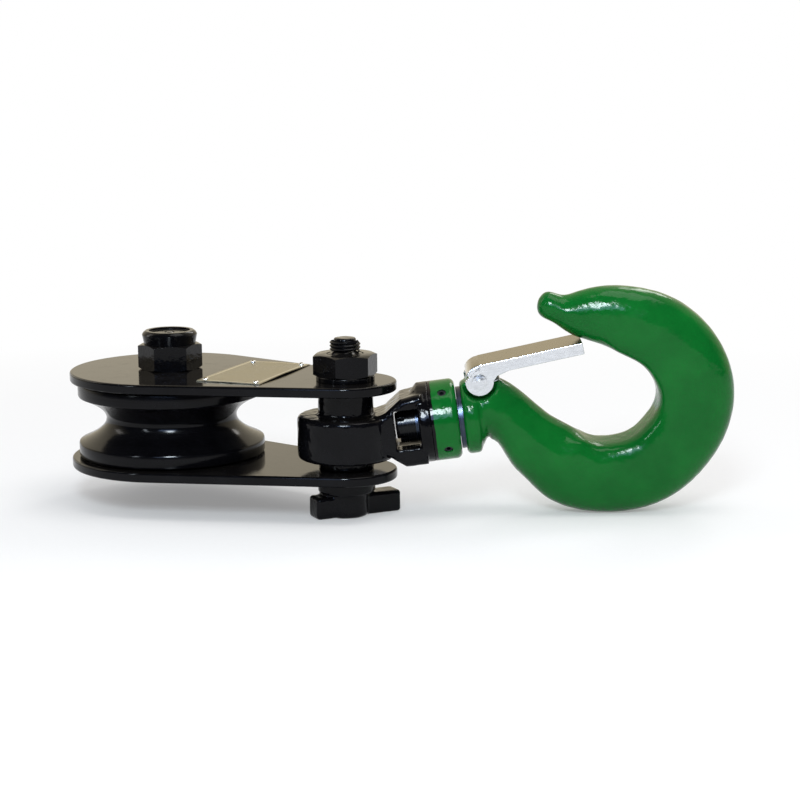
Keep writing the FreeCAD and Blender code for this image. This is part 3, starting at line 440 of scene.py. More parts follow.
turned_black = turned("turned_black", BLACK, 0.0, 0.1, 0.22, 0.05, BLACK_MIRROR)
# Painted shade in part: the shank's nut is black so the yoke's window stays dark.
shank_black = turned("shank_black", BLACK, 0.0, 0.15, 0.3, 0.05, 0.2, True)
shank_steel = turned("shank_steel", (rgb(38, 44, 56), rgb(70, 78, 92)), 1.0, 0.22, 0.4, 0.10, on_shank=True)
sleeve_bronze = turned("sleeve_bronze", BRONZE, 1.0, 0.25, 0.42, 0.12)
shank_bronze = turned("shank_bronze", BRONZE, 1.0, 0.25, 0.42, 0.12, on_shank=True)
print("turned materials", turned_black.name, shank_steel.name, sleeve_bronze.name, shank_bronze.name)


# %% Materials: zinc, nylon, dark screws
def zinc(name, deep, pale, gloss, dull):
    """Zinc coat over rolled sheet, its rolling marks along the shank, and a painted tan reflection on its
    upper side.
    """
    material, tree, shader, place = start_material(name)
    along = mapped(tree, place, rotation=SHANK_TURN, scale=(1 / 1100, 1 / 1100, 1 / 45))
    bloom = use(tree, zinc_bloom, {"Place": place, "Along": along, "Gloss": gloss, "Dull": dull})
    above = vector_math(tree, "DOT_PRODUCT", facing_of(tree), tuple(hook_up))
    cloud = spread(tree, bloom["Cloud"], 0.2, 0.75)
    coat = blend_colours(tree, cloud, deep, pale)
    # Painted reflection: faces that look up the hook get the tan of the warm wall they would mirror.
    painted_tan_reflection = blend_colours(tree, cloud, rgb(122, 114, 94), rgb(152, 144, 122))
    feed(tree, shader, {
        "Base Color": blend_colours(tree, spread(tree, above, 0.6, 0.9), coat, painted_tan_reflection),
        "Roughness": bloom["Roughness"],
        "Normal": bloom["Normal"],
        "Metallic": 1.0,
    })
    return material


def speckled(name, deep, pale, metallic, gloss, dull, scale):
    """A plain hard surface with fine speckle in its colour, gloss and height."""
    material, tree, shader, place = start_material(name)
    fine = noise(tree, place, scale, 4.0, 0.6)
    feed(tree, shader, {
        "Base Color": blend_colours(tree, spread(tree, fine, 0.3, 0.7), deep, pale),
        "Roughness": spread(tree, fine, 0.3, 0.7, gloss, dull),
        "Normal": bumped(tree, fine, 0.12, 0.0004),
        "Metallic": metallic,
        "IOR": 1.5,
    })
    return material


bright_zinc = zinc("bright_zinc", rgb(196, 199, 204), rgb(232, 234, 237), 0.16, 0.34)
spring_steel = zinc("spring_steel", rgb(150, 152, 156), rgb(205, 207, 210), 0.2, 0.34)
nylon_ring = speckled("nylon_ring", rgb(24, 23, 22), rgb(40, 38, 35), 0.0, 0.25, 0.4, 800.0)
black_oxide = speckled("black_oxide", rgb(28, 29, 32), rgb(58, 60, 66), 0.85, 0.28, 0.45, 1200.0)
nipple_steel = speckled("nipple_steel", rgb(60, 60, 62), rgb(105, 105, 108), 0.9, 0.25, 0.42, 900.0)
print("materials", bright_zinc.name, spring_steel.name, nylon_ring.name, black_oxide.name)

# %% [markdown]
# ## The blank plate's metal
#
# The name plate is thin aluminium with a satin tan field. The tan is partly its own colour and partly a
# painted reflection of the warm wall. Its raised border and its edges are painted brighter, a painted
# highlight where they catch the light. Which is which can't come from Object coordinates alone, so the
# mesh stores a `border_and_rim_highlight` attribute: 1 on the border and the rim, 0 on the field. Nothing
# is printed on the field.

# %% Material: name plate
plate_metal, tree, shader, place = start_material("plate_metal")
border_and_rim_highlight = stored(tree, "border_and_rim_highlight")
brushed = noise(tree, mapped(tree, place, scale=(1 / 2600, 1 / 90, 1 / 300)), 1.0, 3.0, 0.6)
smudge = noise(tree, place, 65.0, 4.0, 0.6)
# Painted reflection in part: the tan field also stands for the warm wall it mirrors.
field = blend_colours(tree, spread(tree, smudge, 0.3, 0.7), rgb(112, 104, 78), rgb(134, 125, 96))
# Painted highlight in part: the border and the rim are paler where they would catch the light.
border = blend_colours(tree, spread(tree, brushed, 0.3, 0.7), rgb(176, 170, 150), rgb(216, 210, 190))
feed(tree, shader, {
    "Base Color": blend_colours(tree, border_and_rim_highlight, field, border),
    "Metallic": spread(tree, border_and_rim_highlight, 0.0, 1.0, 0.75, 0.95),
    "Roughness": spread(tree, plus(tree, brushed, smudge), 0.6, 1.4, 0.22, 0.4),
    "Normal": bumped(tree, brushed, 0.1, 0.0005),
})
print("material", plate_metal.name)

# %% [markdown]
# ## Copies that can be softened
#
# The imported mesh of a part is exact, but its edges are knife sharp and its triangles aren't joined.
# Painted steel has no sharp edge: the coat rounds it, and a rounded edge is what catches the light. So
# a copy is merged into one skin first, and then softened in one of two ways. A plate or a nut gets a
# narrow bevel. A forging is remeshed into small even faces and smoothed, which rounds everything.

# %% Helpers for pieces
def link_piece(name, mesh):
    """A new object for a mesh, in the scene."""
    piece = bpy.data.objects.new(name, mesh)
    bpy.context.scene.collection.objects.link(piece)
    return piece


def finish_piece(piece, body, paint, node=None):
    """Paints a piece, lets it ride on its body, and hides the node that it stands for, if any."""
    piece.data.materials.append(paint)
    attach(piece, body)
    if node is not None:
        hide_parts(node)
    print(piece.name, len(piece.data.polygons), "faces")


def change_mesh(mesh, change):
    """Opens a mesh for editing, changes it and writes it back."""
    work = bmesh.new()
    work.from_mesh(mesh)
    change(work)
    work.to_mesh(mesh)
    work.free()


def turn_outward(work):
    """Lets all faces point outwards."""
    bmesh.ops.recalc_face_normals(work, faces=work.faces)


def smooth_but(mesh, crease):
    """Smooth shading, but for edges that bend by more than crease degrees."""
    round_shading(mesh)
    mesh.set_sharp_from_angle(angle=math.radians(crease))


def merged_copy(node, name):
    """A new object with the node's mesh, where corners that share a place become one."""
    work = bmesh.new()
    work.from_mesh(nodes[node].data)
    bmesh.ops.remove_doubles(work, verts=work.verts, dist=2e-6)
    mesh = bpy.data.meshes.new(name)
    work.to_mesh(mesh)
    work.free()
    if "custom_normal" in mesh.attributes:
        mesh.attributes.remove(mesh.attributes["custom_normal"])
    mesh.materials.clear()
    return link_piece(name, mesh)


def bake_modifiers(piece):
    """Keeps what the piece's modifiers make of its mesh and takes the modifiers off."""
    made = bpy.data.meshes.new_from_object(piece.evaluated_get(bpy.context.evaluated_depsgraph_get()))
    piece.modifiers.clear()
    piece.data = made
    piece.data.name = piece.name


def corners_of(mesh):
    """The mesh's corner places as one array of rows."""
    places = np.empty(len(mesh.vertices) * 3)
    mesh.vertices.foreach_get("co", places)
    return places.reshape(-1, 3)


def edges_of(mesh):
    """The mesh's edges as rows of two corner numbers."""
    pairs = np.empty(len(mesh.edges) * 2, dtype=np.int32)
    mesh.edges.foreach_get("vertices", pairs)
    return pairs.reshape(-1, 2)


def normals_of(mesh):
    """The mesh's outward direction at every corner."""
    out = np.empty(len(mesh.vertices) * 3)
    mesh.vertex_normals.foreach_get("vector", out)
    return out.reshape(-1, 3)


def put_corners(mesh, places):
    """Writes the corner places back."""
    mesh.vertices.foreach_set("co", places.ravel())
    mesh.update()


def round_shading(mesh):
    """Smooth shading on every face."""
    mesh.polygons.foreach_set("use_smooth", np.ones(len(mesh.polygons), dtype=bool))


def neighbour_sum(edges, amounts, count):
    """For every corner, the sum of what its neighbours hold, worked out from the edge list at once."""
    total = np.empty((count, amounts.shape[1]))
    for column in range(amounts.shape[1]):
        there = np.bincount(edges[:, 0], weights=amounts[edges[:, 1], column], minlength=count)
        back = np.bincount(edges[:, 1], weights=amounts[edges[:, 0], column], minlength=count)
        total[:, column] = there + back
    return total


def eased(mesh, rounds):
    """Smooths a mesh without shrinking it.

    Each round moves every corner half way to the mean of its neighbours, then a little more than half
    way back out along the same rule. Small bumps vanish, and the volume stays.
    """
    places, edges = corners_of(mesh), edges_of(mesh)
    count = np.bincount(edges.ravel(), minlength=len(places))[:, None]
    for _ in range(rounds):
        for share in (0.5, -0.52):
            mean = neighbour_sum(edges, places, len(places)) / count
            places = places + share * (mean - places)
    put_corners(mesh, places)


def hammered(mesh, depth):
    """Moves corners along their normals by a sum of slow sine waves, as scale and hammer leave them."""
    places = corners_of(mesh) * 1000
    x, y, z = places[:, 0], places[:, 1], places[:, 2]
    wave = np.sin(0.61 * x + 0.9 * np.sin(0.37 * y)) * np.sin(0.53 * y + 0.41 * z)
    wave += 0.6 * np.sin(0.93 * z + 0.7 * x) * np.sin(0.81 * y - 0.5 * x)
    put_corners(mesh, (places * MM) + normals_of(mesh) * (depth * wave)[:, None])


def mark_edges(mesh, soft=160.0, hard=520.0):
    """Stores how sharply the surface bends outwards at each corner, from 0 to 1, as `edge`.

    Along an edge, the bend is how much the two normals part, divided by the length. The mean over a
    corner's edges is its curvature in 1/m: 160 is a 6 mm round, 520 a 2 mm one.
    """
    places, edges, normals = corners_of(mesh), edges_of(mesh), normals_of(mesh)
    step = places[edges[:, 1]] - places[edges[:, 0]]
    turn = ((normals[edges[:, 1]] - normals[edges[:, 0]]) * step).sum(axis=1)
    bend = turn / np.maximum((step ** 2).sum(axis=1), 1e-12)
    total = np.bincount(edges[:, 0], weights=bend, minlength=len(places))
    total += np.bincount(edges[:, 1], weights=bend, minlength=len(places))
    mean = total / np.maximum(np.bincount(edges.ravel(), minlength=len(places)), 1)
    share = np.clip((mean - soft) / (hard - soft), 0.0, 1.0).astype(np.float32)
    mesh.attributes.new("edge", "FLOAT", "POINT").data.foreach_set("value", share)


print("piece helpers ready")

# %% [markdown]
# ## The forgings: hook, yoke and bolt
#
# These three were forged hot and then painted, so no edge on them is crisp. Sculpting them by hand
# would lose the engineering shape. Instead a copy is remeshed with voxels of under a millimetre,
# smoothed by a rule that keeps the volume, and given a faint waviness.
#
# The hammer dies leave marks of their own. The hook's bar is flatter on its sides than an ellipse, with
# a broad seat inside the bowl; its neck is cut in under the flange; its nose turns up. Each of these
# is a formula on the place of a corner, read in the hook's own frame, so it can be tuned by itself.
# The bolt's end was turned down above its nut, and the same kind of formula draws it in.

# %% Read places in the hook's frame
HOOK_AXES = np.array([shank_way, latch_way, hook_up])
HOOK_ORIGIN = np.array(swivel_place)


def to_hook(places):
    """Places as millimetres along the shank, across it away from the camera, and up."""
    local = (places - HOOK_ORIGIN) @ HOOK_AXES.T * 1000
    return local[:, 0], local[:, 1], local[:, 2]


def from_hook(along, across, above):
    """The way back from the hook's own millimetres to the frame."""
    return np.stack([along, across, above], axis=1) * MM @ HOOK_AXES + HOOK_ORIGIN


def smooth(value):
    """0 below 0, 1 above 1, and a soft S between them."""
    held = np.clip(value, 0.0, 1.0)
    return held * held * (3 - 2 * held)


print("hook frame ready")


# %% Shape the hook as the dies do
BOWL_ALONG, BOWL_ABOVE = 158.5, 4.0
BAR_ANGLE = np.array([-155.0, -139.0, -117.2, -92.0, -69.0, -42.6, -4.5, 20.3, 43.1, 69.5, 91.0, 108.4])
BAR_DISTANCE = np.array([55.1, 51.6, 51.5, 50.6, 50.8, 50.0, 50.8, 48.6, 46.6, 45.2, 47.6, 53.3])
BAR_DEPTH = np.array([38.8, 42.6, 46.5, 47.4, 48.4, 48.6, 46.4, 45.0, 43.0, 39.5, 34.0, 25.4])
BAR_WIDTH = np.array([35.0, 35.5, 36.0, 36.5, 37.0, 37.5, 37.5, 36.5, 34.5, 31.5, 27.5, 22.0])
SEAT_DEEPER = np.array([0.0, 0.6, 2.4, 2.4, 2.6, 2.8, 0.6, 0.0, 0.0, 0.0, 0.0, 0.0])
UNDER_NECK = np.array([[79.0, 1.0], [81.0, 0.93], [84.0, 0.76], [87.0, 0.68], [89.0, 0.68], [91.0, 0.76],
                       [93.0, 0.86], [95.5, 0.95], [98.0, 0.99], [101.0, 1.0]])
NOSE_RAISED, NOSE_DIP = 3.2, 1.3


def bar_at(angle, row):
    """A row of the bar's stations read at any angle, the corners between the stations smoothed away."""
    nearby = [np.interp(angle + step, BAR_ANGLE, row) for step in (-12.0, -6.0, 0.0, 6.0, 12.0)]
    return np.mean(nearby, axis=0)


def squared_bar(along, across, above):
    """Turns the bar's section from an ellipse towards a rounded square, most on the inside of the bowl.

    Round the bowl's middle each corner has an angle and a distance. The bar's middle line, depth and
    width at that angle give its place in the section, from -1 to 1 both ways. A superellipse of power n
    reaches further out than an ellipse by length2 / length_n, and the corner moves by that share.
    """
    angle = np.degrees(np.arctan2(above - BOWL_ABOVE, along - BOWL_ALONG))
    far = np.hypot(along - BOWL_ALONG, above - BOWL_ABOVE)
    middle = bar_at(angle, BAR_DISTANCE)
    a = (far - middle) / (bar_at(angle, BAR_DEPTH) / 2)
    b = across / (bar_at(angle, BAR_WIDTH) / 2)
    power = 2.3 + 1.9 * smooth(0.1 - a)
    plain = np.sqrt(a ** 2 + b ** 2) + 1e-9
    square = (np.abs(a) ** power + np.abs(b) ** power) ** (1 / power) + 1e-9
    inside = smooth((angle + 148) / 22) * smooth((100 - angle) / 26)
    gain = 1 + inside * (np.clip(plain / square, 1.0, 1.25) - 1)
    new_far = middle + (far - middle) * gain + bar_at(angle, SEAT_DEEPER) * smooth(-1.4 * a)
    turn_back = np.radians(angle)
    return BOWL_ALONG + new_far * np.cos(turn_back), across * gain, BOWL_ABOVE + new_far * np.sin(turn_back)


def die_marks(places):
    """The hook's section, its neck under the flange and its upturned nose."""
    along, across, above = squared_bar(*to_hook(places))
    waist = np.interp(along, UNDER_NECK[:, 0], UNDER_NECK[:, 1])
    above = np.where(above < 0, above * waist, above)
    nose = smooth((146 - along) / 20) * smooth((above - 36) / 10)
    dip = np.exp(-((along - 137.5) / 5.5) ** 2) * smooth((above - 54) / 8)
    above = above + NOSE_RAISED * nose - NOSE_DIP * dip
    return from_hook(along, across, above)


print("hook die", len(BAR_ANGLE), "stations")

# %% Slim the bolt's end
BOLT_RADIUS, STUB_RADIUS = 11.0 * MM, 9.0 * MM
nut_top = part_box("bolt_nut")[1].z
bolt_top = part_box("bolt")[1].z


def slim_stub(places):
    """Draws the bolt's end in to a smaller round above its nut, over one millimetre of height."""
    centre = np.array(bolt_place)
    step = places - centre
    share = smooth((places[:, 2] - nut_top - 0.3 * MM) / (1.0 * MM))
    drawn = 1 - share * (1 - STUB_RADIUS / BOLT_RADIUS)
    return np.stack([centre[0] + step[:, 0] * drawn, centre[1] + step[:, 1] * drawn, places[:, 2]], axis=1)


print("stub from", BOLT_RADIUS, "to", STUB_RADIUS, "above", round(nut_top, 4))


# %% Make the forgings
def forging(node, name, body, voxel, rounds, depth, paint, reshape=None):
    """Builds one forged piece from its node: remeshed, reshaped, eased, hammered and painted."""
    piece = merged_copy(node, name)
    grain = piece.modifiers.new("grain", "REMESH")
    grain.mode = "VOXEL"
    grain.voxel_size = voxel * MM
    bake_modifiers(piece)
    if reshape is not None:
        put_corners(piece.data, reshape(corners_of(piece.data)))
    eased(piece.data, rounds)
    hammered(piece.data, depth * MM)
    round_shading(piece.data)
    mark_edges(piece.data)
    finish_piece(piece, body, paint, node)


forging("hook", "forged_hook", "hook", 0.9, 4, 0.05, green_enamel, die_marks)
forging("yoke", "forged_yoke", "yoke", 0.8, 3, 0.07, black_enamel)
forging("bolt", "handled_bolt", "frame", 0.8, 3, 0.05, black_enamel, slim_stub)

# %% [markdown]
# ## Plates, nuts and the latch
#
# The side plates were flame cut, the nuts machined, and the latch folded from sheet. Each keeps its
# flat faces, and only its edges are rounded. A bevel modifier with an angle limit does that: it leaves
# the shallow steps between the facets of a round alone and finds the real edges. The lock nut's round
# collar is a little fuller than the engineering model's, so its corners are moved out first.

# %% Make the bevelled pieces
LOCK_COLLAR_HEIGHT, LOCK_COLLAR_GROWN = 8.2 * MM, 1.1 * MM
collar_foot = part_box("lock_nut")[1].z - LOCK_COLLAR_HEIGHT


def fuller_dome(places):
    """Widens the lock nut's round collar above its hexagon, from the hole's edge outwards."""
    far = np.hypot(places[:, 0], places[:, 1])
    share = smooth((far - 14.4 * MM) / (0.8 * MM)) * smooth((places[:, 2] - collar_foot) / (0.3 * MM))
    grown = 1 + share * LOCK_COLLAR_GROWN / np.maximum(far, 1 * MM)
    return np.stack([places[:, 0] * grown, places[:, 1] * grown, places[:, 2]], axis=1)


def join_flat_faces(work):
    """Turns triangles that lie in one plane into one face."""
    bmesh.ops.dissolve_limit(work, angle_limit=math.radians(0.4), verts=work.verts, edges=work.edges)


def bevelled(node, name, body, width, paint, reshape=None):
    """Builds one piece whose true edges are rounded by width millimetres."""
    piece = merged_copy(node, name)
    if reshape is not None:
        put_corners(piece.data, reshape(corners_of(piece.data)))
    change_mesh(piece.data, join_flat_faces)
    round_shading(piece.data)
    rounding = piece.modifiers.new("rounding", "BEVEL")
    rounding.width = width * MM
    rounding.segments = 3
    rounding.limit_method = "ANGLE"
    rounding.angle_limit = math.radians(32.0)
    rounding.harden_normals = True
    rounding.use_clamp_overlap = True
    bake_modifiers(piece)
    finish_piece(piece, body, paint, node)


bevelled("upper_side_plate", "cut_plate_upper", "frame", 0.7, plate_enamel)
bevelled("lower_side_plate", "cut_plate_lower", "frame", 0.7, plate_enamel)
bevelled("lock_nut", "pin_lock_nut", "frame", 0.5, black_enamel, fuller_dome)
bevelled("bolt_nut", "bolt_hex_nut", "frame", 0.5, black_enamel)
bevelled("lock_washer", "split_washer", "frame", 0.5, black_enamel)
bevelled("pin_keeper", "keeper_bar", "frame", 0.8, black_enamel)
bevelled("bearing_collar", "hook_collar", "yoke", 0.5, collar_enamel)
bevelled("latch", "pressed_latch", "latch", 0.45, bright_zinc)

# %% [markdown]
# ## The latch's hood
#
# At its hinge the pressed latch is rounded over, so that rope strands can't catch on a corner. That
# hood is a channel bent round the pin. Its section is a closed outline of a top and two short cheeks,
# and the path is an arc about the pin's middle, so one grid of angle and outline makes the whole
# piece. Its radius shrinks a little towards the back, as the real one does.

# %% Make the hood
PIN_ALONG, PIN_ABOVE = 82.5, 23.0
HOOD_HALF_WIDTH, HOOD_SHEET, HOOD_CHEEK, HOOD_CORNER = 12.5, 1.6, 3.2, 1.5
HOOD_ANGLES, HOOD_RADII, HOOD_STEPS = (82.0, 144.0), (10.5, 9.2), 28


def mesh_of(name, places, faces, crease, outward=False):
    """A mesh from corner places and faces, smooth but for edges sharper than crease degrees."""
    mesh = bpy.data.meshes.new(name)
    mesh.from_pydata(places.tolist(), [], faces)
    mesh.validate()
    if outward:
        change_mesh(mesh, turn_outward)
    smooth_but(mesh, crease)
    return mesh


def tube_faces(number):
    """Quads between the rows of a grid of corner numbers, each row closed into a loop."""
    beside = np.roll(number, -1, axis=1)
    return np.stack([number[:-1], beside[:-1], beside[1:], number[1:]], axis=-1).reshape(-1, 4)


def quarter_round(edge, top, radius):
    """An outer corner as (across, inward) pairs: from the top round to the side."""
    turn_in = np.linspace(0, np.pi / 2, 6)
    across = edge - radius + radius * np.sin(turn_in)
    return np.stack([across, top + radius - radius * np.cos(turn_in)], axis=1)


def hood_section():
    """The channel's outline as (across, inward) pairs: over the outside, then back along the inside."""
    edge, inner = HOOD_HALF_WIDTH, HOOD_HALF_WIDTH - HOOD_SHEET
    right_out = quarter_round(edge, 0.0, HOOD_CORNER)
    right_in = quarter_round(inner, HOOD_SHEET, max(HOOD_CORNER - HOOD_SHEET, 0.3))
    left_out, left_in = right_out * [-1, 1], right_in * [-1, 1]
    return np.concatenate([[[-edge, HOOD_CHEEK]], left_out[::-1], right_out, [[edge, HOOD_CHEEK]],
                           [[inner, HOOD_CHEEK]], right_in[::-1], left_in, [[-inner, HOOD_CHEEK]]])


def hood_mesh(name):
    """The section carried along an arc about the pin, closed at both ends."""
    section = hood_section()
    share = np.linspace(0, 1, HOOD_STEPS)[:, None]
    angle = np.radians(HOOD_ANGLES[0] + (HOOD_ANGLES[1] - HOOD_ANGLES[0]) * share)
    radius = HOOD_RADII[0] + (HOOD_RADII[1] - HOOD_RADII[0]) * share - section[None, :, 1]
    along = PIN_ALONG + radius * np.cos(angle)
    above = PIN_ABOVE + radius * np.sin(angle)
    across = np.broadcast_to(section[None, :, 0], along.shape)
    places = from_hook(along.ravel(), across.ravel(), above.ravel())
    number = np.arange(HOOD_STEPS * len(section)).reshape(HOOD_STEPS, -1)
    faces = tube_faces(number).tolist() + [number[0][::-1].tolist(), number[-1].tolist()]
    return mesh_of(name, places, faces, 40, outward=True)


finish_piece(link_piece("latch_hood", hood_mesh("latch_hood")), "latch", bright_zinc)

# %% [markdown]
# ## The latch's spring
#
# One wire makes two coils round the pin, a bridge that rests on the hook's neck, and two legs that
# press up under the latch's roof. When the latch opens, the coils and legs turn with it while the
# bridge stays on the neck. A stiff copy of the whole wire would cut through the roof, so the wire is
# parted where the coils meet the bridge: each part rides on the body that it rests against.

# %% Part the spring where it turns
def spring_part(name, body, on_bridge):
    """The faces of the spring's bridge, or all the others, with the wire's cut ends closed."""
    def part_wire(work):
        middles = np.array([face.calc_center_median()[:] for face in work.faces])
        along, across, above = to_hook(middles)
        along, above = along - PIN_ALONG, above - PIN_ABOVE
        low = (above < -2.0) & (along > 6.0)
        leg_reach = np.abs(across[low]).max() + 0.1
        bridge = low | ((above < -3.0) & (along > 1.0) & (np.abs(across) < leg_reach))
        spare = [face for face, part in zip(work.faces, bridge) if part != on_bridge]
        bmesh.ops.delete(work, geom=spare, context="FACES")
        bmesh.ops.holes_fill(work, edges=[edge for edge in work.edges if edge.is_boundary])
        turn_outward(work)

    piece = merged_copy("latch_spring", name)
    change_mesh(piece.data, part_wire)
    smooth_but(piece.data, 40)
    finish_piece(piece, body, spring_steel, "latch_spring")


spring_part("spring_bridge", "hook", True)
spring_part("spring_coils", "latch", False)

# %% [markdown]
# ## The name plate
#
# On the real block it is a thin sheet held by four small rivets. Its edges bend up a little between
# the rivets, so light shows along the rim and a dark gap under it. The sheet is one function of two
# parameters: across and along give the place, and the height adds the raised border, the lift of the
# rim and one long edge that curls up. A box would have had none of this.

# %% Make the name plate
STEPS_ACROSS, STEPS_ALONG = 118, 220
SHEET_GROWN, SHEET_MOVED = 2.0 * MM, Vector((1.0 * MM, -4.5 * MM, 0.0))
SHEET_THICKNESS, RIVET_INSET, LABEL_TURN = 0.45 * MM, 4.0 * MM, math.radians(2.5)
label_low, label_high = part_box("name_plate")
sheet_wide, sheet_long = (size + SHEET_GROWN for size in (label_high - label_low).xy)
sheet_middle = ((label_low + label_high) / 2) + SHEET_MOVED


def sheet_mesh(name, across, along, height, border_and_rim_highlight):
    """A closed sheet from three equal grids: its top at height, its underside a thickness below.

    The rim is closed by joining the outer rows of the two grids. Faces point outwards.
    """
    rows, columns = across.shape
    top = np.stack([across, along, height], axis=-1).reshape(-1, 3)
    under = top - np.array([0.0, 0.0, SHEET_THICKNESS])
    number = np.arange(rows * columns).reshape(rows, columns)
    a, b, c, d = number[:-1, :-1], number[1:, :-1], number[1:, 1:], number[:-1, 1:]
    up = np.stack([a, b, c, d], axis=-1).reshape(-1, 4)
    down = up[:, ::-1] + rows * columns
    ring = np.concatenate([number[:, 0], number[-1, 1:], number[-2::-1, -1], number[0, -2:0:-1]])
    following = np.roll(ring, -1)
    side = np.stack([following, ring, ring + rows * columns, following + rows * columns], axis=-1)
    mesh = mesh_of(name, np.concatenate([top, under]), np.concatenate([up, down, side]).tolist(), 50)
    mark = np.concatenate([border_and_rim_highlight.ravel(), np.ones(rows * columns)]).astype(np.float32)
    mesh.attributes.new("border_and_rim_highlight", "FLOAT", "POINT").data.foreach_set("value", mark)
    return mesh


def on_label(side, long):
    """The frame's x and y of a place on the sheet, given from its middle."""
    x = sheet_middle.x + side * math.cos(LABEL_TURN) - long * math.sin(LABEL_TURN)
    y = sheet_middle.y + side * math.sin(LABEL_TURN) + long * math.cos(LABEL_TURN)
    return x, y


share_across = np.linspace(0.0, 1.0, STEPS_ACROSS)[:, None] * np.ones((1, STEPS_ALONG))
share_along = np.ones((STEPS_ACROSS, 1)) * np.linspace(0.0, 1.0, STEPS_ALONG)[None, :]
side_way = (share_across - 0.5) * sheet_wide
long_way = (share_along - 0.5) * sheet_long
plate_x, plate_y = on_label(side_way, long_way)
from_rim = np.minimum(sheet_wide / 2 - np.abs(side_way), sheet_long / 2 - np.abs(long_way))
raised = 0.16 * MM * np.exp(-((from_rim - 2.0 * MM) / (0.55 * MM)) ** 2)
between = np.sin(np.pi * share_across) ** 2 + np.sin(np.pi * share_along) ** 2
lifted = 0.22 * MM * between * np.clip(1 - from_rim / (4 * MM), 0, 1) ** 2
near_edge = np.clip(1 - (sheet_wide / 2 - side_way) / (7 * MM), 0, 1) ** 2
curled = 0.55 * MM * np.sin(np.pi * share_along) * near_edge
plate_z = label_high.z - 0.42 * MM + raised + lifted + curled
# Painted highlight: the raised border and the outermost rim are marked to be painted paler.
plate_border_and_rim_highlight = np.clip(np.clip(raised / (0.1 * MM), 0, 1) + (from_rim < 0.25 * MM), 0, 1)
plate_mesh = sheet_mesh("blank_name_plate", plate_x, plate_y, plate_z, plate_border_and_rim_highlight)
finish_piece(link_piece("blank_name_plate", plate_mesh), "frame", plate_metal, "name_plate")

# %% [markdown]
# ## The plate's rivets
#
# Four small drive rivets hold the sheet. Each head is a shallow dome: a profile of radius and height
# swept round its axis. All four come from one array, with the middle of each added at the end.

# %% Make the rivets
HEAD_RADIUS, HEAD_FOOT = 1.9 * MM, 0.55 * MM


def domes_mesh(name, radii, heights, centres, around=32):
    """One profile swept round an upright axis at each centre, closed at both ends by a pole."""
    angle = np.linspace(0.0, 2 * np.pi, around, endpoint=False)
    ring = np.stack([np.cos(angle), np.sin(angle), np.zeros(around)], axis=-1)
    upright = np.array([0.0, 0.0, 1.0]) * heights[:, None, None]
    poles = np.array([[0, 0, heights[0]], [0, 0, heights[-1]]])
    one = np.concatenate([(radii[:, None, None] * ring[None] + upright).reshape(-1, 3), poles])
    number = np.arange(len(radii) * around).reshape(-1, around)
    beside = np.roll(number, -1, axis=1)
    low_pole, high_pole = number.size, number.size + 1
    low_fan = np.stack([beside[0], number[0], np.full(around, low_pole)], axis=-1)
    high_fan = np.stack([number[-1], beside[-1], np.full(around, high_pole)], axis=-1)
    places, faces = [], []
    for index, centre in enumerate(centres):
        shift = index * len(one)
        places.append(one + np.array(centre))
        for part in (tube_faces(number), low_fan, high_fan):
            faces += (part + shift).tolist()
    return mesh_of(name, np.concatenate(places), faces, 60)


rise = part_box("name_plate_rivets")[1].z - (label_high.z - 0.45 * MM)
sweep = np.linspace(0.0, 1.0, 9)[1:] * np.pi / 2
dome_radii = np.concatenate([[HEAD_RADIUS * 0.6, HEAD_RADIUS * 0.6, HEAD_RADIUS],
                             HEAD_RADIUS * np.cos(sweep * 0.96)])
dome_heights = np.concatenate([[0.0, 0.53 * MM, HEAD_FOOT], HEAD_FOOT + (rise - 0.1 * MM) * np.sin(sweep)])
rivet_side, rivet_long = sheet_wide / 2 - RIVET_INSET, sheet_long / 2 - RIVET_INSET
rivet_places = [(*on_label(side, long), label_low.z) for side in (-rivet_side, rivet_side)
                for long in (-rivet_long, rivet_long)]
rivet_mesh = domes_mesh("plate_rivets", dome_radii, dome_heights, rivet_places)
finish_piece(link_piece("plate_rivets", rivet_mesh), "frame", bright_zinc,
             "name_plate_rivets")

# %% [markdown]
# ## The thread on the bolt's end
#
# The bolt reaches through its nut, and its last turns show. A thread is a small ridge carried along a
# helix: the profile is a low triangle, and the path climbs one pitch per turn. The ridge fades in and
# out at its ends, as a cut thread does. It stands a quarter of a millimetre out of the bolt's side.

# %% Make the thread
THREAD_PITCH, THREAD_STAND, THREAD_SINK = 2.0 * MM, 0.25 * MM, 0.5 * MM


def helix_ridge(name, centre, radius, low, high, per_turn=72):
    """A closed ridge round an upright cylinder.

    Along the path the angle grows evenly and the height grows by one pitch a turn. Across it there are
    four corners: two sunk into the cylinder and a narrow crest that stands out of it.
    """
    turns = (high - low) / THREAD_PITCH - 1
    count = int(turns * per_turn)
    t = np.linspace(0.0, turns, count)
    angle = 2 * np.pi * t
    foot = radius - THREAD_SINK + 0 * t
    crest = radius + THREAD_STAND * np.clip(np.minimum(t, turns - t) / 0.25, 0.0, 1.0)
    out = np.stack([foot, crest, crest, foot])
    x = centre[0] + out * np.cos(angle)
    y = centre[1] + out * np.sin(angle)
    z = low + THREAD_PITCH * (t + 0.5) + np.array([-0.48, -0.08, 0.08, 0.48])[:, None] * THREAD_PITCH
    places = np.stack([x, y, z], axis=-1).transpose(1, 0, 2).reshape(-1, 3)
    number = np.arange(count * 4).reshape(count, 4)
    caps = [number[0].tolist(), number[-1][::-1].tolist()]
    return mesh_of(name, places, tube_faces(number)[:, [0, 3, 2, 1]].tolist() + caps, 40)


thread_mesh = helix_ridge("bolt_thread", bolt_place, STUB_RADIUS - 0.05 * MM, nut_top + 0.6 * MM,
                          bolt_top - 0.9 * MM)
finish_piece(link_piece("bolt_thread", thread_mesh), "frame", black_enamel)

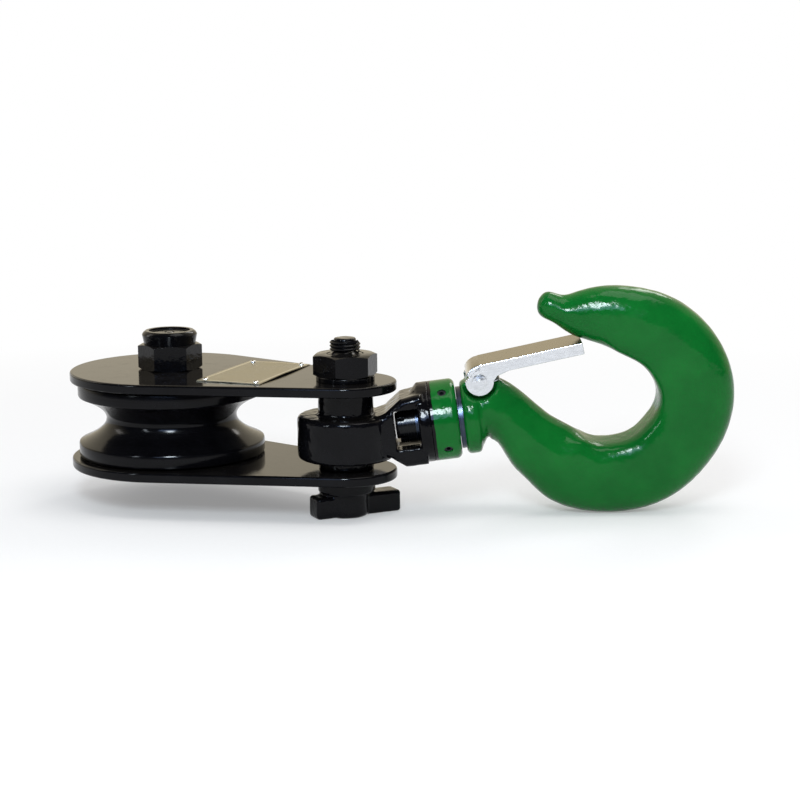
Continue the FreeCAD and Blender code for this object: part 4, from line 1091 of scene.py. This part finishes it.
# %% [markdown]
# ## The sheave's groove
#
# The rope groove of a real sheave isn't a plain V: its flanks bow outwards to the lips, so that a rope
# that comes in at an angle rolls down into the root. A lathe makes that shape, and so does a profile
# swept round the axis. The flank is a parabola from the root to the lip, inside the straight flank of
# the engineering model. Two fine steps turned into the rims catch the light as thin rings.

# %% Turn the sheave
GROOVE_LIP, GROOVE_ROOT = 14.7, 40.1
HUB_RADIUS, WEB_RADIUS, WEB_HEIGHT = 24.0, 37.0, 7.0


def ring_mesh(name, profile, around=240):
    """A closed profile of radius and height swept round the Z axis into a ring."""
    angle = np.linspace(0.0, 2 * np.pi, around, endpoint=False)[:, None]
    radii, heights = profile[None, :, 0], profile[None, :, 1]
    places = np.stack([radii * np.cos(angle), radii * np.sin(angle), heights + 0 * angle], axis=-1)
    number = np.arange(around * len(profile)).reshape(around, -1)
    quads = tube_faces(np.concatenate([number, number[:1]]))[:, [0, 3, 2, 1]]
    return mesh_of(name, places.reshape(-1, 3), quads.tolist(), 24)


def sheave_profile(rim, half, bore):
    """The sheave's outline in millimetres, from the bore up the top face, down the groove and back.

    The groove's flank is radius = root + (rim - root) * (height / lip)^2, a parabola.
    """
    step = (half - WEB_HEIGHT) * 0.25
    height = np.linspace(GROOVE_LIP - 0.5, -GROOVE_LIP + 0.5, 61)
    flank = GROOVE_ROOT + (rim - 0.35 - GROOVE_ROOT) * (height / (GROOVE_LIP - 0.5)) ** 2
    top = [(bore, half), (HUB_RADIUS, half), (HUB_RADIUS + step, WEB_HEIGHT), (WEB_RADIUS, WEB_HEIGHT),
           (WEB_RADIUS + step, half), (rim - 1.9, half), (rim - 1.9, half - 0.2), (rim - 1.5, half - 0.2),
           (rim - 1.5, half), (rim - 0.5, half), (rim - 0.15, half - 0.15), (rim, half - 0.5),
           (rim, GROOVE_LIP + 0.35), (rim - 0.1, GROOVE_LIP)]
    low = [(radius, -up) for radius, up in reversed(top)]
    return np.array(top + list(zip(flank, height)) + low)


sheave_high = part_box("sheave")[1]
outline = sheave_profile(sheave_high.x * 1000, sheave_high.z * 1000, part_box("sheave_bush")[1].x * 1000)
finish_piece(link_piece("turned_sheave", ring_mesh("turned_sheave", outline * MM)), "sheave", turned_black,
             "sheave")

# %% [markdown]
# ## Parts that stay as they were built
#
# The pin, the grease fitting, the washers and bushes are already right as the lathe made them. They
# keep their mesh and only get a finish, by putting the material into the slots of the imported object.
# The nodes that a piece above stands for get the same finish as that piece.

# %% Give the nodes their finish
FINISHES = [
    (turned_black, ["sheave", "centre_pin"]),
    (sleeve_bronze, ["sheave_bush", "upper_thrust_washer", "lower_thrust_washer"]),
    (nipple_steel, ["grease_fitting"]),
    (nylon_ring, ["nut_insert"]),
    (shank_bronze, ["yoke_bush"]),
    (black_oxide, ["collar_grub_screws", "shank_nut_pin"]),
    (shank_black, ["shank_nut"]),
    (shank_steel, ["nut_washer", "thrust_washer"]),
    (bright_zinc, ["latch_pin", "latch", "name_plate_rivets"]),
    (spring_steel, ["latch_spring"]),
    (black_enamel, ["yoke", "bolt", "lock_nut", "bolt_nut", "lock_washer", "pin_keeper"]),
    (plate_enamel, ["upper_side_plate", "lower_side_plate"]),
    (green_enamel, ["hook"]),
    (collar_enamel, ["bearing_collar"]),
    (plate_metal, ["name_plate"]),
]


def paint_node(name, material):
    """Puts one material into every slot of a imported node's object."""
    if len(nodes[name].material_slots) == 0:
        nodes[name].data.materials.append(material)
    for slot in nodes[name].material_slots:
        slot.material = material


for finish, node_names in FINISHES:
    for node_name in node_names:
        paint_node(node_name, finish)
print("finished", sum(len(names) for _, names in FINISHES), "of", len(nodes), "nodes")

# %% [markdown]
# ## The floor
#
# The block lies on white paper. The paper is lit like the object, so it shows a soft shadow, and
# further out it turns into an even white, so that no horizon shows. The change happens with distance
# from the block, read from Object coordinates, and only for rays that look at the paper or mirror it.

# %% Lay the floor
BLOCK_MIDDLE = (0.11, 0.02)
REACH = 6.0
floor_height = cad_low.z
corners = [(x * REACH, y * REACH, floor_height) for x, y in ((-1, -1), (1, -1), (1, 1), (-1, 1))]
floor_mesh = bpy.data.meshes.new("paper_floor")
floor_mesh.from_pydata(corners, [], [(0, 1, 2, 3)])
paper_floor = link_piece("paper_floor", floor_mesh)


def ray_kinds(tree):
    """1 for rays straight from the camera, and 1 for rays that a surface mirrors or glass lets through."""
    path = add(tree, "ShaderNodeLightPath", {}).outputs
    return path["Is Camera Ray"], math_of(tree, "MAXIMUM", path["Is Glossy Ray"], path["Is Transmission Ray"])


paper, tree, shader, place = start_material("white_paper")
far = vector_math(tree, "DISTANCE", place, (*BLOCK_MIDDLE, floor_height))
fibre = noise(tree, place, 350.0, 4.0, 0.6)
feed(tree, shader, {
    "Base Color": blend_colours(tree, fibre, (0.89, 0.89, 0.89, 1), (0.93, 0.93, 0.93, 1)),
    "Roughness": 0.9,
    "Specular IOR Level": 0.0,
})
seen = math_of(tree, "MAXIMUM", *ray_kinds(tree))
white_share = times(tree, seen, spread(tree, far, 0.15, 0.7, 0.25, 1.0))
glow = add(tree, "ShaderNodeEmission", {"Color": (1, 1, 1, 1), "Strength": 1.0}).outputs["Emission"]
mix = add(tree, "ShaderNodeMixShader", {0: white_share, 1: shader.outputs["BSDF"], 2: glow})
feed(tree, tree.nodes["Material Output"], {"Surface": mix.outputs["Shader"]})
paper_floor.data.materials.append(paper)
print("floor at", round(floor_height, 4))

# %% [markdown]
# ## Studio light
#
# Gloss black shows nothing but what it mirrors. In the picture the block stands before a warm pale
# wall, with a dim room behind the camera and one bright window above it: the upper faces mirror the
# wall, the fronts stay black, and rounded edges carry thin cool lights. So the world is a warm wall on
# one side and dim on the other for mirrored rays, an even soft light for matt surfaces, and plain
# white where the camera looks past the block.

# %% Build the world
CAMERA_AZIMUTH, CAMERA_RISE = 23.5, 10.5
turn, rise_angle = math.radians(CAMERA_AZIMUTH), math.radians(CAMERA_RISE)
away = Vector((-math.sin(turn), math.cos(turn), 0.0))
world = bpy.data.worlds.new("studio")
bpy.context.scene.world = world
world.use_nodes = True
tree = world.node_tree
tree.nodes.clear()
way = add(tree, "ShaderNodeTexCoord", {}).outputs["Generated"]
wall_share = spread(tree, vector_math(tree, "DOT_PRODUCT", way, tuple(away)), -0.15, 0.35)
mirrored_colour = blend_colours(tree, wall_share, rgb(46, 48, 54), rgb(250, 238, 212))
camera_rays, mirrored_rays = ray_kinds(tree)
soft_colour = blend_colours(tree, mirrored_rays, (0.5, 0.5, 0.51, 1), mirrored_colour)
shown_colour = blend_colours(tree, camera_rays, soft_colour, (1, 1, 1, 1))
sky = add(tree, "ShaderNodeBackground", {"Color": shown_colour, "Strength": 1.0}).outputs["Background"]
add(tree, "ShaderNodeOutputWorld", {"Surface": sky})
print("world", len(tree.nodes), "nodes")

# %% [markdown]
# ## The lamps
#
# A lamp on paint is seen as a shape, so each is a soft rectangle. The window lights the block and
# shows in it. Three more are seen only in reflections: the window's bright pane, the blue sky round it
# and a narrow doorway, which draw the thin cool lines on rounded edges.

# %% Hang the lamps
COOL, BLUE, NEUTRAL = (0.82, 0.92, 1.0), (0.42, 0.6, 1.0), (1.0, 0.98, 0.96)


def softbox(name, turned_by, rise, distance, width, height, watts, colour, lights_matt=True):
    """An area lamp that looks at the block, turned round it from where the camera stands."""
    a, e = math.radians(CAMERA_AZIMUTH + turned_by), math.radians(rise)
    lamp = bpy.data.lights.new(name, "AREA")
    lamp.shape = "RECTANGLE"
    lamp.size, lamp.size_y = width, height
    lamp.energy = watts
    lamp.color = colour
    holder = link_piece(name, lamp)
    toward = Vector((math.sin(a) * math.cos(e), -math.cos(a) * math.cos(e), math.sin(e)))
    holder.location = Vector((*BLOCK_MIDDLE, 0.0)) + toward * distance
    holder.rotation_euler = toward.to_track_quat("Z", "Y").to_euler()
    holder.visible_diffuse = lights_matt


softbox("window", -3, 33, 1.3, 0.26, 0.34, 8.0, COOL)
softbox("window_pane", -3, 33, 1.28, 0.22, 0.3, 11.0, COOL, False)
softbox("window_sky", -6, 22, 1.5, 0.7, 0.35, 7.0, BLUE, False)
softbox("doorway", -46, 22, 1.4, 0.10, 0.5, 3.0, COOL, False)
softbox("overhead", 60, 72, 1.2, 0.7, 0.7, 5.0, NEUTRAL)
softbox("left_side", -105, 32, 1.4, 0.25, 0.6, 1.5, NEUTRAL)
softbox("back_side", 150, 40, 1.4, 0.3, 0.6, 3.0, NEUTRAL)

# %% [markdown]
# ## The camera
#
# The picture was taken from a little above and to the right. Its angles come from the ellipses of
# the sheave and nuts, its focal length from how little the far side shrinks. The bolt's middle is known
# in both the model and the picture, so the camera is moved until that point falls on its pixel.

# %% Place the camera
FOCAL_PIXELS, DISTANCE, ROLL = 2022.0, 1.207, math.radians(0.45)
PICTURE_PIXELS, SENSOR_WIDTH = 800, 36.0
BOLT_PIXEL = (346.0, 428.5)
level_right = Vector((math.cos(turn), math.sin(turn), 0.0))
look = away * math.cos(rise_angle) - Vector((0.0, 0.0, math.sin(rise_angle)))
level_up = level_right.cross(look)
right = level_right * math.cos(ROLL) - level_up * math.sin(ROLL)
up = level_up * math.cos(ROLL) + level_right * math.sin(ROLL)
shift_right, shift_down = ((pixel - PICTURE_PIXELS / 2) / FOCAL_PIXELS * DISTANCE for pixel in BOLT_PIXEL)
station = bolt_place - right * shift_right + up * shift_down - look * DISTANCE
lens = bpy.data.cameras.new("camera")
lens.sensor_width = SENSOR_WIDTH
lens.lens = FOCAL_PIXELS / PICTURE_PIXELS * SENSOR_WIDTH
lens.clip_start, lens.clip_end = 0.05, 30.0
camera = link_piece("camera", lens)
turned_to = Matrix((right, up, -look)).transposed()
camera.matrix_world = Matrix.Translation(station) @ turned_to.to_4x4()
bpy.context.scene.camera = camera
bpy.context.scene.view_settings.view_transform = "Standard"
print("camera at", [round(c, 3) for c in station])
